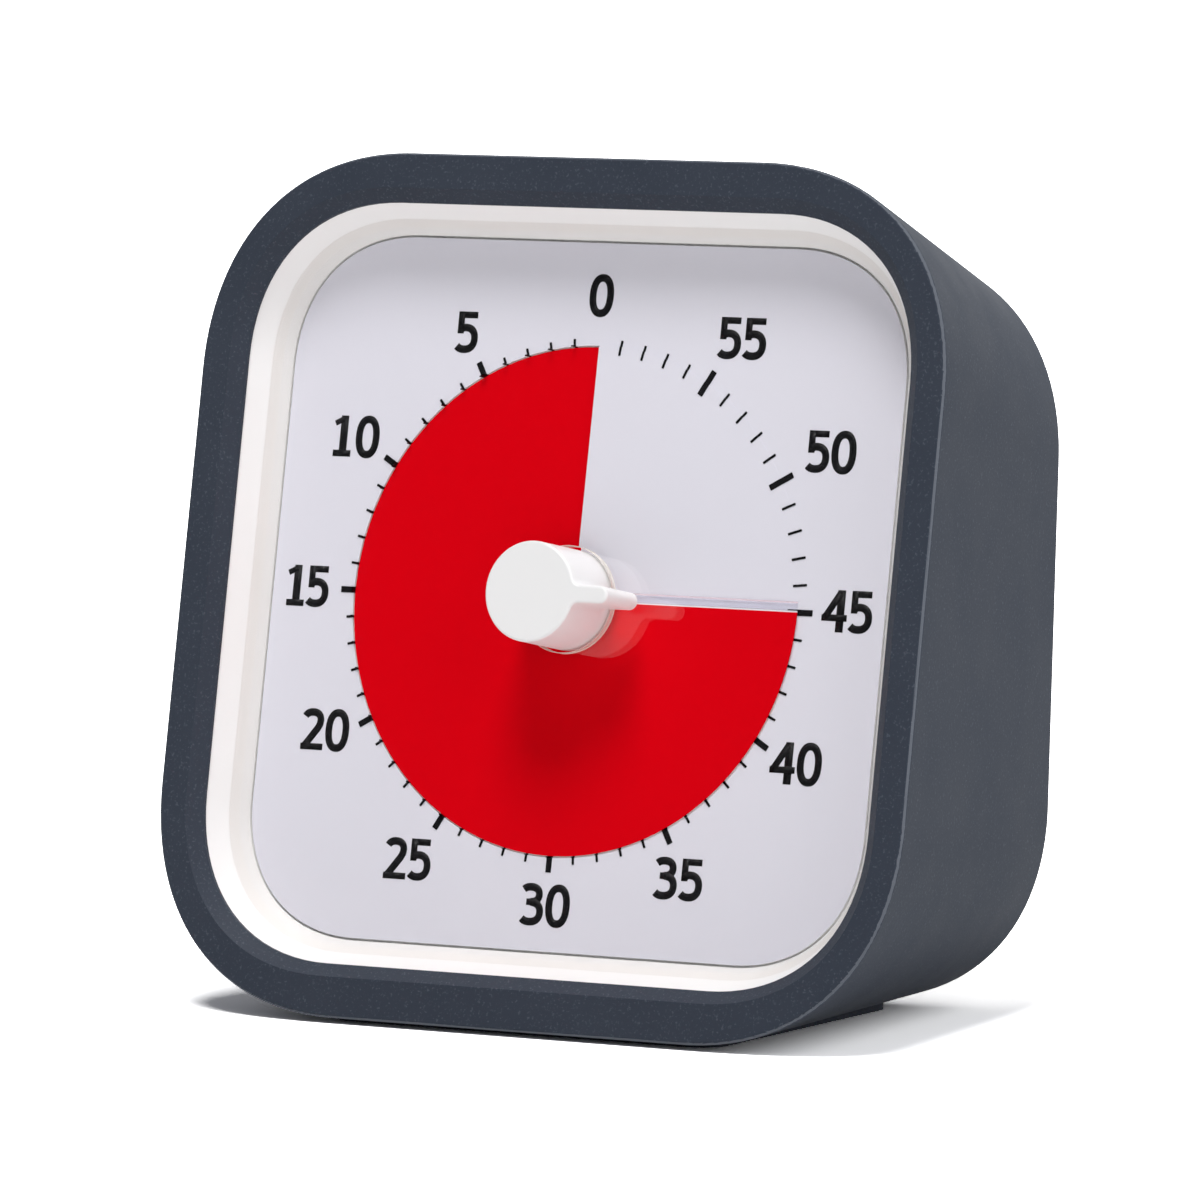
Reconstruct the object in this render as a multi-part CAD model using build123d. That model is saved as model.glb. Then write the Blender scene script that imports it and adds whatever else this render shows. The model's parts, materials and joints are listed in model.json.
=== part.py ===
from build123d import *
import math
import os

# A sixty-minute countdown timer. A film disk is threaded through a slit in the printed dial, so
# that turning the knob counter-clockwise draws it out over the dial, and a quartz movement pulls
# it back. Every piece is modelled in the dial's own frame (origin at the dial's centre on its
# printed face, x to the right, y up the face, z out of the face), then stood on the table.
# All sizes are millimetres and degrees.

# --- The outer body: a soft square face that tapers to a smaller back ---
LEAN = 10.8               # the face leans back from upright
BACK_LEAN = 3.3           # the back leans less, so the body is a wedge
FACE_WIDTH = 88.0
FACE_HEIGHT = 90.0
FACE_CORNER = 23.2
BACK_WIDTH = 78.2
BACK_HEIGHT = 77.6
BACK_CORNER = 21.0
BASE_DEPTH = 44.0         # along the table, from the front edge to the back edge
CORNER_FULLNESS = 0.61    # 0.55 would be a circle; more is squarer
DIAL_DROP = 0.18          # the dial's centre lies this far below the face's centre
RIM_RISE = 6.6            # the rim stands this far in front of the printed face

# --- Silicone cover ---
COVER_WALL = 2.2
COVER_FRONT_EDGE = 0.35   # round on the face's outer edge
COVER_BACK_EDGE = 1.0     # and on the back's
COVER_FRONT_LIP = 1.8
COVER_BACK_LIP = 1.5
RIM_SIDE = 4.7            # width of the rim at the sides of the opening
RIM_END = 5.4             # and over and under it
RIM_CHAMFER_WIDTH = 1.4
RIM_CHAMFER_DEPTH = 1.35
OPENING_CORNER = 16.8
OPENING_RAISE = 0.3       # the opening's centre lies this far above the face's centre
BACK_RIM_WIDTH = 3.6
COVER_GAP = 0.1           # between the stretched cover and the case
PAD_HEIGHT = 0.6          # of the pad that the cover stands on
PAD_INSET = 3.0           # from the underside's front and back edges
PAD_SPREAD = 2.2          # past each end of the face's straight lower edge
PAD_CORNER = 3.0

# --- Front case: its bezel is one sloping wall from the cover's lip down to the dial ---
CASE_WALL = 1.8
BEZEL_WIDTH = 2.75
BEZEL_TUCK = 0.15         # how far the bezel reaches out under the cover's lip
CHASSIS_LEDGE = 1.15      # how far the case reaches in over the chassis
SEAT_GAP = 0.1            # round the chassis in its pocket
CASE_SPLIT = -14.0        # height at which the front case meets the rear housing
PAST = 1.0                # how far a cut runs on past the face that it opens
EDGE_BREAK = 0.2          # round on the edge of a small turned piece

# --- Lens, which rests in the bezel's taper ---
LENS_TOP = 2.4
LENS_THICKNESS = 1.35
LENS_HOLE_GAP = 0.3       # from the knob to the lens
LENS_HOLE_ROUND = 0.12

# --- Dial plate and film disk: both are one turn of the same helicoid ---
DIAL_THICKNESS = 0.8
DIAL_EDGE_GAP = 0.25      # from the dial plate to the foot of the bezel
DISK_RADIUS = 26.3
FILM_THICKNESS = 0.1
FILM_RISE = 0.5           # climb of the film in one turn
FILM_START = -0.2         # height of the film where it comes out of the slit
WELL_GAP = 0.15           # round the film disk
RAMP_THICKNESS = 0.14
SHEET_STEPS = 16          # cross-sections in one turn of the film or of the dial's ramp
STRIP_STEPS = 3           # cross-sections along the clear strip
SLIT_HALF_ANGLE = 0.4
HUB_RADIUS = 4.6
HUB_GAP = 0.4             # from the hub to the dial's centre hole
EDGE_STRIP_WIDTH = 1.1
MINUTES_SHOWN = 45
MINUTES_IN_TURN = 60

# --- Knob and shaft ---
KNOB_RADIUS = 5.2
KNOB_TOP = 9.8
KNOB_BOTTOM = 1.0
KNOB_EDGE = 0.3
POINTER_REACH = 9.2
POINTER_WIDTH = 1.8
POINTER_CLEARANCE = 1.1   # from the lens to the pointer's underside
POINTER_BLEND = 1.0       # round where the pointer meets the knob
SHAFT_RADIUS = 1.5
SHAFT_FLAT = 1.0          # from the axis to the flat that keys the knob and the hub
SHAFT_IN_KNOB = 7.0
PUSH_FIT = 0.02
RUNNING_FIT = 0.05

# --- Chassis that carries the dial, the movement and the rear screws ---
CHASSIS_THICKNESS = 1.2
CHASSIS_PAD = 0.4
POST_RADIUS = 2.4
POST_ROOF = 2.0           # solid end of a screw post, behind the chassis
LOWER_POST = (32.0, -8.0)
UPPER_POST = (26.0, 28.0)
SCREW_RADIUS = 1.1
SCREW_HEAD_RADIUS = 2.0
SCREW_HEAD_HEIGHT = 1.4
SCREW_HOLE_GAP = 0.1
SCREW_DRIVE = 0.5
CASE_SCREW_BITE = 6.0     # how far the rear screws reach into the chassis posts

# --- Movement box, gear train and stepping motor ---
MOVEMENT_WALL = 1.2
MOVEMENT_ROOM = 0.5       # between the movement's walls and what lies inside them
MOVEMENT_CORNER = 3.0
EAR_SIZE = (6.0, 8.0, 2.0)
EAR_UP = 5.0
EAR_SCREW_SHARE = 0.75    # how deep the ears' screws go, as a share of the chassis
PIVOT_RADIUS = 0.4
PIVOT_LENGTH = 0.75
ARBOR_RADIUS = 0.6
END_SHAKE = 0.1           # play of an arbor between the movement's plates
WHEEL_THICKNESS = 0.8
WHEEL_GAP = 0.5           # between one wheel and the next along the arbors
PINION_TEETH = 8
CENTRE_MODULE = 0.26
THIRD_MODULE = 0.23
SECONDS_MODULE = 0.26
INTERMEDIATE_MODULE = 0.22
TOOTH_ADDENDUM = 0.8      # a tooth's height outside the pitch circle, in modules
TOOTH_DEDENDUM = 1.15     # and its depth inside the circle
TOOTH_TIP = 0.1           # half the tooth's width at its tip, in tooth pitches
TOOTH_FOOT = 0.26         # and at its foot
CENTRE_TEETH = 64
THIRD_TEETH = 60
SECONDS_TEETH = 40
INTERMEDIATE_TEETH = 48
THIRD_BEARING = 40.0      # directions from each arbor to the next
SECONDS_BEARING = 150.0
INTERMEDIATE_BEARING = 172.0
ROTOR_BEARING = 225.0
CLIP_RADIUS = 2.8
CLIP_THICKNESS = 0.4
CLIP_GROOVE = 0.3
CLIP_GAP = 0.4            # from the clip to the movement's front wall
FLANGE_RADIUS = 3.2
FLANGE_THICKNESS = 0.65
CENTRE_HUB_RADIUS = 3.0
CENTRE_HUB_HEIGHT = 0.6
SPRING_RADIUS = 5.0
SPRING_RISE = 0.65
SPRING_GAUGE = 0.2
SPRING_LEGS = 3
SPRING_LEG_WIDTH = 2.4
MAGNET_RADIUS = 2.3
MAGNET_HEIGHT = 2.0
STATOR_THICKNESS = 0.8
STATOR_GAP = 0.45
STATOR_LEG = 3.0
STATOR_HALF_LENGTH = 7.6
STATOR_BAR_HALF = 3.5
COIL_RADIUS = 2.8
COIL_CORE = 1.6
COIL_FLANGE = 0.6
COIL_GAP = 0.3            # from the stator to the bobbin, and from the winding to its rim

# --- Rear housing, battery bay, board and switch (placed in the back's own frame) ---
BAY_WALL = 1.2
BAY_ROOM = 0.5            # round the battery
BATTERY_RADIUS = 7.2
BATTERY_LENGTH = 49.4
BATTERY_EDGE = 0.5
BATTERY_NUB = (2.75, 1.1)
BATTERY_UP = 16.4
DOOR_THICKNESS = 1.6
DOOR_GAP = 0.25
DOOR_CORNER = 1.0
DOOR_TAB = (4.0, 1.4, 0.9)    # width, reach and thickness of a hook at the hinged end
DOOR_TAB_STEM = 1.0
DOOR_TAB_SPREAD = 4.5
DOOR_TAB_GAP = 0.2            # from a hook to the housing that it catches behind
DOOR_CATCH = (1.0, 5.0, 2.2)
DOOR_GRIP = (1.0, 9.0, 0.7)   # width, height and depth of a finger groove
DOOR_GRIP_PITCH = 2.0
DOOR_GRIP_COUNT = 3
DOOR_GRIP_FROM_END = 6.0
CONTACT_GAUGE = 0.4
CONTACT_PAD = 10.0
CONTACT_TAIL = 3.0
CONTACT_BACKING = 0.6         # from a contact strip to the end of the bay
CONTACT_SLOT_GAP = 1.0        # round a strip where it leaves the bay
DIMPLE_HEIGHT = 1.4
DIMPLE_TAPER = 0.6            # the dimple's tip, as a share of the battery's nub
SPRING_ROOM = 5.9             # along the battery, for the spring
SPRING_WIRE = 0.35
SPRING_TURNS = 4
SPRING_BASE_RADIUS = 4.2
SPRING_TIP_RADIUS = 2.6
BOARD_OVER_BAY = 5.0
BOARD_HEIGHT = 20.0
BOARD_THICKNESS = 1.2
BOARD_POST_INSET = (6.9, 3.0)
BOARD_POST_RADIUS = 2.0
BOARD_SCREW_BITE = 2.6
BUZZER_RADIUS = 7.0
BUZZER_HEIGHT = 3.4
BUZZER_GAP = 0.5              # from the buzzer to the housing's sound holes
BUZZER_MOUTH = 1.0
BUZZER_X = 10.0
SOUND_HOLE_RADIUS = 0.6
SOUND_HOLE_PITCH = 2.4
SWITCH_X = -13.0
SWITCH_BODY = (9.0, 4.6, 3.4)
SWITCH_FLOOR = 1.0
SWITCH_KNOB = (3.4, 2.6)
SWITCH_TRAVEL = 4.0
SWITCH_PROUD = 0.6
SWITCH_GAP = 0.25
SWITCH_RIDGE = (0.35, 0.9)    # width and pitch of the grooves in the slider's thumb grip
CRYSTAL_RADIUS = 1.0
CRYSTAL_LENGTH = 6.0
CRYSTAL_FROM_EDGE = 3.0
CHIP_RADIUS = 3.5
CHIP_HEIGHT = 1.2
CHIP_DOME = 0.8               # round of the resin's edge, as a share of its height

os.makedirs("parts", exist_ok=True)


# --- Frames and outlines -------------------------------------------------------------------

def sine(angle):
    return math.sin(math.radians(angle))


def cosine(angle):
    return math.cos(math.radians(angle))


BOTTOM_EDGE_Y = DIAL_DROP - FACE_HEIGHT / 2
BACK_TILT = LEAN - BACK_LEAN
BACK = Plane(
    origin=(0, BOTTOM_EDGE_Y + BASE_DEPTH * sine(LEAN), RIM_RISE - BASE_DEPTH * cosine(LEAN)),
    x_dir=(1, 0, 0),
    z_dir=(0, -sine(BACK_TILT), cosine(BACK_TILT)),
)


def corner_points(width, height, radius, side_x, side_y):
    """Control points of one full corner, in counter-clockwise order."""
    pull = radius * (1 - CORNER_FULLNESS)
    tip_x, tip_y = side_x * width / 2, side_y * height / 2
    points = [
        (tip_x - side_x * radius, tip_y),
        (tip_x - side_x * pull, tip_y),
        (tip_x, tip_y - side_y * pull),
        (tip_x, tip_y - side_y * radius),
    ]
    return points[::-1] if side_x * side_y > 0 else points


def soft_square(width, height, radius):
    """Outline of four straight sides joined by corners fuller than a circle's."""
    sides = ((1, 1), (-1, 1), (-1, -1), (1, -1))
    corners = [corner_points(width, height, radius, *side) for side in sides]
    edges = []
    for corner, following in zip(corners, corners[1:] + corners[:1]):
        edges.append(Bezier(*corner))
        edges.append(Line(corner[-1], following[0]))
    return Wire(edges)


def face_outline(inset):
    """The face's outline, inset all round."""
    wire = soft_square(FACE_WIDTH - 2 * inset, FACE_HEIGHT - 2 * inset, FACE_CORNER - inset)
    return Pos(0, DIAL_DROP, RIM_RISE) * wire


def back_outline(inset):
    """The back's outline, inset all round."""
    wire = soft_square(BACK_WIDTH - 2 * inset, BACK_HEIGHT - 2 * inset, BACK_CORNER - inset)
    return BACK.location * Pos(0, BACK_HEIGHT / 2, 0) * wire


def body_form(inset):
    """The wedge-shaped body between the face and the back, inset all round."""
    return Solid.make_loft([back_outline(inset), face_outline(inset)], True)


def between(shape, low, high):
    """The part of a shape between two heights over the dial."""
    room = 4 * FACE_WIDTH
    slab = Pos(0, 0, (low + high) / 2) * Box(room, room, high - low)
    return shape & slab


def before_back(shape, depth):
    """The part of a shape that lies further in than a depth from the back plane."""
    room = 4 * FACE_WIDTH
    return shape & BACK.location * Pos(0, 0, depth + room / 2) * Box(room, room, room)


def prism(wire, low, high):
    """A straight prism between two heights, on an outline drawn at the lower height."""
    return extrude(Face(wire), amount=high - low, dir=(0, 0, 1))


def in_back(x, y, z, shape):
    """Places a shape in the back's frame: y up from the table, z in from the back plane."""
    return BACK.location * Pos(x, y, z) * shape


def disc(radius, low, high, at=(0, 0)):
    """A round solid between two heights."""
    return Pos(at[0], at[1], (low + high) / 2) * Cylinder(radius, high - low)


def spiral_sheet(inner, outer, start, end, height_at, thickness, steps):
    """A sheet whose height follows the angle, lofted through radial cross-sections."""
    sections = []
    for step in range(steps + 1):
        angle = start + (end - start) * step / steps
        radial = Plane(
            origin=(0, 0, height_at(angle)),
            x_dir=(cosine(angle), sine(angle), 0),
            z_dir=(sine(angle), -cosine(angle), 0),
        )
        middle = Pos((inner + outer) / 2, 0, 0)
        sections.append(radial.location * middle * Rectangle(outer - inner, thickness))
    return loft(sections)


# --- Heights of the stack behind the bezel ---
LIP_BACK = RIM_RISE - COVER_FRONT_LIP
LENS_BACK = LENS_TOP - LENS_THICKNESS
CASE_INSET = COVER_WALL + COVER_GAP
HOLLOW_INSET = CASE_INSET + CASE_WALL
CHASSIS_TOP = -DIAL_THICKNESS
CHASSIS_BACK = CHASSIS_TOP - CHASSIS_PAD - CHASSIS_THICKNESS
MOVEMENT_FRONT_INSIDE = CHASSIS_BACK - MOVEMENT_WALL
POINTER_ANGLE = 90 + 360 * MINUTES_SHOWN / MINUTES_IN_TURN
LENS_HOLE = KNOB_RADIUS + LENS_HOLE_GAP
WELL_RADIUS = DISK_RADIUS + WELL_GAP
HUB_HOLE = HUB_RADIUS + HUB_GAP
HOUSING_OUTSIDE = COVER_BACK_LIP
HOUSING_INSIDE = HOUSING_OUTSIDE + CASE_WALL
BAY_HALF = BATTERY_RADIUS + BAY_ROOM
BATTERY_IN = HOUSING_OUTSIDE + DOOR_THICKNESS + BAY_ROOM + BATTERY_RADIUS
BAY_FLOOR = BATTERY_IN + BATTERY_RADIUS + BAY_ROOM


# --- Layout of the movement: arbors across it, then heights down through it ---

def polar(origin, distance, bearing):
    return (origin[0] + distance * cosine(bearing), origin[1] + distance * sine(bearing))


def reach(module, teeth):
    """Distance between the arbors of a wheel and its pinion."""
    return module * (teeth + PINION_TEETH) / 2


def tip_radius(module, teeth):
    return module * (teeth / 2 + TOOTH_ADDENDUM)


CENTRE = (0.0, 0.0)
THIRD = polar(CENTRE, reach(CENTRE_MODULE, CENTRE_TEETH), THIRD_BEARING)
SECONDS = polar(THIRD, reach(THIRD_MODULE, THIRD_TEETH), SECONDS_BEARING)
INTERMEDIATE = polar(SECONDS, reach(SECONDS_MODULE, SECONDS_TEETH), INTERMEDIATE_BEARING)
ROTOR = polar(INTERMEDIATE, reach(INTERMEDIATE_MODULE, INTERMEDIATE_TEETH), ROTOR_BEARING)
ARBORS = (THIRD, SECONDS, INTERMEDIATE, ROTOR)
CLIP_TOP = MOVEMENT_FRONT_INSIDE - CLIP_GAP
CLIP_BOTTOM = CLIP_TOP - CLIP_THICKNESS
CENTRE_TOP = CLIP_BOTTOM - SPRING_RISE - 2 * RUNNING_FIT
CENTRE_BOTTOM = CENTRE_TOP - WHEEL_THICKNESS
FLANGE_TOP = CENTRE_BOTTOM - CENTRE_HUB_HEIGHT - RUNNING_FIT
THIRD_TOP = FLANGE_TOP - FLANGE_THICKNESS - WHEEL_GAP / 2
SECONDS_TOP = THIRD_TOP - WHEEL_THICKNESS - WHEEL_GAP
INTERMEDIATE_TOP = SECONDS_TOP - WHEEL_THICKNESS - WHEEL_GAP
ROTOR_PINION_LOW = INTERMEDIATE_TOP - WHEEL_THICKNESS - WHEEL_GAP / 2
MAGNET_TOP = ROTOR_PINION_LOW - WHEEL_GAP / 2
STATOR_TOP = MAGNET_TOP - (MAGNET_HEIGHT - STATOR_THICKNESS) / 2
STATOR_LEFT = ROTOR[0] - STATOR_HALF_LENGTH
STATOR_RIGHT = ROTOR[0] + STATOR_HALF_LENGTH
COIL_MIDDLE = STATOR_TOP + COIL_CORE / 2
COIL_LEFT = STATOR_LEFT + STATOR_LEG + COIL_GAP
COIL_RIGHT = STATOR_RIGHT - STATOR_LEG - COIL_GAP
MOVEMENT_MARGIN = MOVEMENT_ROOM + MOVEMENT_WALL
MOVEMENT_LEFT = STATOR_LEFT - MOVEMENT_MARGIN
MOVEMENT_RIGHT = THIRD[0] + tip_radius(THIRD_MODULE, THIRD_TEETH) + MOVEMENT_MARGIN
MOVEMENT_BOTTOM = -tip_radius(CENTRE_MODULE, CENTRE_TEETH) - MOVEMENT_MARGIN
MOVEMENT_TOP = (
    INTERMEDIATE[1] + tip_radius(INTERMEDIATE_MODULE, INTERMEDIATE_TEETH) + MOVEMENT_MARGIN
)
COIL_UP = MOVEMENT_BOTTOM + MOVEMENT_MARGIN + COIL_RADIUS
MOVEMENT_REAR_INSIDE = COIL_MIDDLE - COIL_RADIUS - MOVEMENT_ROOM
MOVEMENT_BACK = MOVEMENT_REAR_INSIDE - MOVEMENT_WALL
POSTS = [
    (side * place[0], place[1]) for place in (LOWER_POST, UPPER_POST) for side in (-1, 1)
]
EARS = [
    (MOVEMENT_LEFT - EAR_SIZE[0] / 2, EAR_UP),
    (MOVEMENT_RIGHT + EAR_SIZE[0] / 2, EAR_UP),
]
EAR_SCREW_BITE = CHASSIS_THICKNESS * EAR_SCREW_SHARE

# --- Layout of the rear: along the battery, then up to the board ---
CONTACT_X = (BATTERY_LENGTH + BATTERY_NUB[1] + SPRING_ROOM + DIMPLE_HEIGHT) / 2
BATTERY_NUB_END = CONTACT_X - DIMPLE_HEIGHT
BATTERY_FLAT_END = SPRING_ROOM - CONTACT_X
BAY_END = CONTACT_X + CONTACT_GAUGE + CONTACT_BACKING
BOARD_WIDTH = 2 * CONTACT_X
BOARD_LOW = HOUSING_INSIDE + BUZZER_GAP + BUZZER_HEIGHT
BOARD_HIGH = BOARD_LOW + BOARD_THICKNESS
BOARD_BOTTOM = BATTERY_UP + BAY_HALF + BAY_WALL + BOARD_OVER_BAY
BOARD_TOP = BOARD_BOTTOM + BOARD_HEIGHT
BOARD_MIDDLE = (BOARD_BOTTOM + BOARD_TOP) / 2
BUZZER_AT = (BUZZER_X, BOARD_MIDDLE)
SWITCH_AT = (SWITCH_X, BOARD_MIDDLE)
BOARD_POSTS = [
    (side * (BOARD_WIDTH / 2 - BOARD_POST_INSET[0]), height)
    for height in (BOARD_BOTTOM + BOARD_POST_INSET[1], BOARD_TOP - BOARD_POST_INSET[1])
    for side in (-1, 1)
]
TAIL_MIDDLE = (BOARD_LOW + BOARD_HIGH) / 2
SWITCH_TRACK = (
    SWITCH_KNOB[0] + SWITCH_TRAVEL + 2 * SWITCH_GAP,
    SWITCH_KNOB[1] + 2 * SWITCH_GAP,
)


def opening_outline(inset, height):
    """Outline of the opening in the rim, inset all round, in the plane at a height."""
    wire = soft_square(
        FACE_WIDTH - 2 * (RIM_SIDE + inset),
        FACE_HEIGHT - 2 * (RIM_END + inset),
        OPENING_CORNER - inset,
    )
    return Pos(0, DIAL_DROP + OPENING_RAISE, height) * wire


def bezel_outline(height, clearance=0.0):
    """Outline of the bezel's sloping wall at a height, less a clearance."""
    depth_share = 1 - height / LIP_BACK
    inset = (BEZEL_TUCK + BEZEL_WIDTH) * depth_share - BEZEL_TUCK
    return opening_outline(inset + clearance, height)


def seat_outline(clearance):
    """Outline of the chassis's pocket at the chassis's back, less a clearance."""
    return opening_outline(BEZEL_WIDTH - CHASSIS_LEDGE + clearance, CHASSIS_BACK)


# --- Cover, case and lens ------------------------------------------------------------------

def make_silicone_cover():
    outside = body_form(0)
    outside = fillet(outside.faces().sort_by(Axis.Z)[-1].edges(), COVER_FRONT_EDGE)
    outside = fillet(outside.faces().sort_by(Axis.Z)[0].edges(), COVER_BACK_EDGE)
    cavity = between(body_form(COVER_WALL), -FACE_HEIGHT, LIP_BACK)
    cavity = before_back(cavity, COVER_BACK_LIP)
    front_opening = prism(opening_outline(0, LIP_BACK), LIP_BACK, RIM_RISE)
    chamfer = Solid.make_loft(
        [
            opening_outline(0, RIM_RISE - RIM_CHAMFER_DEPTH),
            opening_outline(-RIM_CHAMFER_WIDTH, RIM_RISE),
        ],
        True,
    )
    back_opening = extrude(
        Face(back_outline(BACK_RIM_WIDTH)), amount=2 * COVER_BACK_LIP, dir=BACK.z_dir
    )
    return outside + sole_pad() - cavity - front_opening - chamfer - back_opening


def sole_pad():
    """The pad that the cover stands on, sunk half-way into the cover's wall."""
    sole = Plane(
        origin=(0, BOTTOM_EDGE_Y, RIM_RISE),
        x_dir=(1, 0, 0),
        z_dir=(0, cosine(LEAN), sine(LEAN)),
    )
    outline = RectangleRounded(
        FACE_WIDTH - 2 * FACE_CORNER + 2 * PAD_SPREAD, BASE_DEPTH - 2 * PAD_INSET, PAD_CORNER
    )
    pad = extrude(outline, amount=PAD_HEIGHT + COVER_WALL / 2)
    return sole.location * Pos(0, BASE_DEPTH / 2, -PAD_HEIGHT) * pad


def make_front_case():
    body = between(body_form(CASE_INSET), CASE_SPLIT, LIP_BACK)
    funnel = Solid.make_loft([bezel_outline(0), bezel_outline(LIP_BACK)], True)
    window = prism(opening_outline(BEZEL_WIDTH, CHASSIS_TOP), CHASSIS_TOP, 0)
    pocket = prism(seat_outline(0), CHASSIS_BACK, CHASSIS_TOP)
    hollow = between(body_form(HOLLOW_INSET), -FACE_HEIGHT, CHASSIS_BACK)
    return body - funnel - window - pocket - hollow


def make_lens():
    sides = [bezel_outline(height, PUSH_FIT) for height in (LENS_BACK, LENS_TOP)]
    lens = Solid.make_loft(sides, True) - disc(LENS_HOLE, LENS_BACK - PAST, LENS_TOP + PAST)
    return fillet(lens.edges().filter_by(GeomType.CIRCLE), LENS_HOLE_ROUND)


# --- Dial and film disk ----------------------------------------------------------------------

def film_height(angle):
    """Height of the film at an angle, counted counter-clockwise from the slit."""
    return FILM_START + FILM_RISE * angle / 360


def ramp_height(angle):
    """The dial's ramp runs midway between the film in front of it and the film behind it."""
    return film_height(angle) - FILM_RISE / 2


def turned_to_slit(shape):
    """Angles are counted from the slit, which points up the face."""
    return Rot(0, 0, 90) * shape


def make_dial_plate():
    plate = prism(opening_outline(BEZEL_WIDTH + DIAL_EDGE_GAP, CHASSIS_TOP), CHASSIS_TOP, 0)
    well = disc(WELL_RADIUS, CHASSIS_TOP - PAST, PAST)
    ramp = spiral_sheet(
        HUB_HOLE,
        WELL_RADIUS + WELL_GAP,
        SLIT_HALF_ANGLE,
        360 - SLIT_HALF_ANGLE,
        ramp_height,
        RAMP_THICKNESS,
        SHEET_STEPS,
    )
    return plate - well + turned_to_slit(ramp)


def make_timer_disk():
    lead = 360 * MINUTES_SHOWN / MINUTES_IN_TURN
    film = spiral_sheet(
        HUB_RADIUS + RUNNING_FIT,
        DISK_RADIUS,
        lead - 360,
        lead,
        film_height,
        FILM_THICKNESS,
        SHEET_STEPS,
    )
    return turned_to_slit(film)


def make_disk_edge_strip():
    """A clear strip of even width along the film's leading edge."""
    lead = 360 * MINUTES_SHOWN / MINUTES_IN_TURN
    sweep_angle = math.degrees(2 * EDGE_STRIP_WIDTH / HUB_RADIUS)
    sheet = spiral_sheet(
        HUB_RADIUS + RUNNING_FIT,
        DISK_RADIUS,
        lead,
        lead + sweep_angle,
        film_height,
        FILM_THICKNESS,
        STRIP_STEPS,
    )
    band = Pos(DISK_RADIUS / 2, EDGE_STRIP_WIDTH / 2, 0) * Box(
        DISK_RADIUS + PAST, EDGE_STRIP_WIDTH, RIM_RISE
    )
    return turned_to_slit(sheet) & Rot(0, 0, POINTER_ANGLE) * band


def keyed_bore(low, high, clearance):
    """A D-shaped hole round the shaft."""
    bore = disc(SHAFT_RADIUS + clearance, low, high)
    cut = SHAFT_FLAT + clearance
    flat = Pos(0, cut + SHAFT_RADIUS, (low + high) / 2) * Box(
        4 * SHAFT_RADIUS, 2 * SHAFT_RADIUS, high - low
    )
    return bore - flat


HUB_TOP = film_height(360) + FILM_RISE / 2
HUB_BOTTOM = film_height(-360) - FILM_RISE / 2


def make_disk_hub():
    hub = disc(HUB_RADIUS, HUB_BOTTOM, HUB_TOP)
    hub = chamfer(hub.faces().sort_by(Axis.Z)[-1].edges(), FILM_RISE / 4)
    return hub - keyed_bore(HUB_BOTTOM - PAST, HUB_TOP + PAST, RUNNING_FIT)


# --- Knob and shaft ---------------------------------------------------------------------------

SHAFT_TOP = KNOB_BOTTOM + SHAFT_IN_KNOB


def make_knob():
    body = disc(KNOB_RADIUS, KNOB_BOTTOM, KNOB_TOP)
    pointer_low = LENS_TOP + POINTER_CLEARANCE
    height = KNOB_TOP - pointer_low
    length = POINTER_REACH - POINTER_WIDTH / 2
    plan = Pos(length / 2, 0, pointer_low) * SlotCenterToCenter(length, POINTER_WIDTH)
    knob = body + extrude(plan, amount=height)
    uprights = knob.edges().filter_by(Axis.Z)
    uprights = uprights.filter_by(lambda edge: edge.length > height / 2)
    roots = uprights.filter_by(lambda edge: 0 < edge.center().X < KNOB_RADIUS)
    knob = fillet(roots, POINTER_BLEND)
    top = knob.faces().sort_by(Axis.Z)[-1]
    knob = fillet(top.edges(), KNOB_EDGE)
    knob = Rot(0, 0, POINTER_ANGLE) * knob
    return knob - keyed_bore(KNOB_BOTTOM - PAST, SHAFT_TOP + PUSH_FIT, PUSH_FIT)


def make_knob_shaft():
    rear = MOVEMENT_REAR_INSIDE + END_SHAKE
    shaft = disc(SHAFT_RADIUS, rear, SHAFT_TOP)
    shaft -= disc(SHAFT_RADIUS + PAST, CLIP_BOTTOM, CLIP_TOP) - disc(
        SHAFT_RADIUS - CLIP_GROOVE, CLIP_BOTTOM - PAST, CLIP_TOP + PAST
    )
    flat_low = CHASSIS_BACK + CHASSIS_THICKNESS / 2
    flat = Pos(0, SHAFT_FLAT + SHAFT_RADIUS, (flat_low + SHAFT_TOP) / 2) * Box(
        4 * SHAFT_RADIUS, 2 * SHAFT_RADIUS, SHAFT_TOP - flat_low
    )
    flange = disc(FLANGE_RADIUS, FLANGE_TOP - FLANGE_THICKNESS, FLANGE_TOP)
    pivot = disc(2 * PIVOT_RADIUS, MOVEMENT_REAR_INSIDE - PIVOT_LENGTH, rear)
    return shaft - flat + flange + pivot


def make_shaft_clip():
    clip = disc(CLIP_RADIUS, CLIP_BOTTOM, CLIP_TOP)
    clip -= disc(SHAFT_RADIUS - CLIP_GROOVE + PUSH_FIT, CLIP_BOTTOM - PAST, CLIP_TOP + PAST)
    mouth = SHAFT_RADIUS - CLIP_GROOVE
    gap = Pos(CLIP_RADIUS, 0, (CLIP_BOTTOM + CLIP_TOP) / 2) * Box(
        2 * CLIP_RADIUS, 2 * mouth, 2 * CLIP_THICKNESS
    )
    return clip - gap


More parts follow.
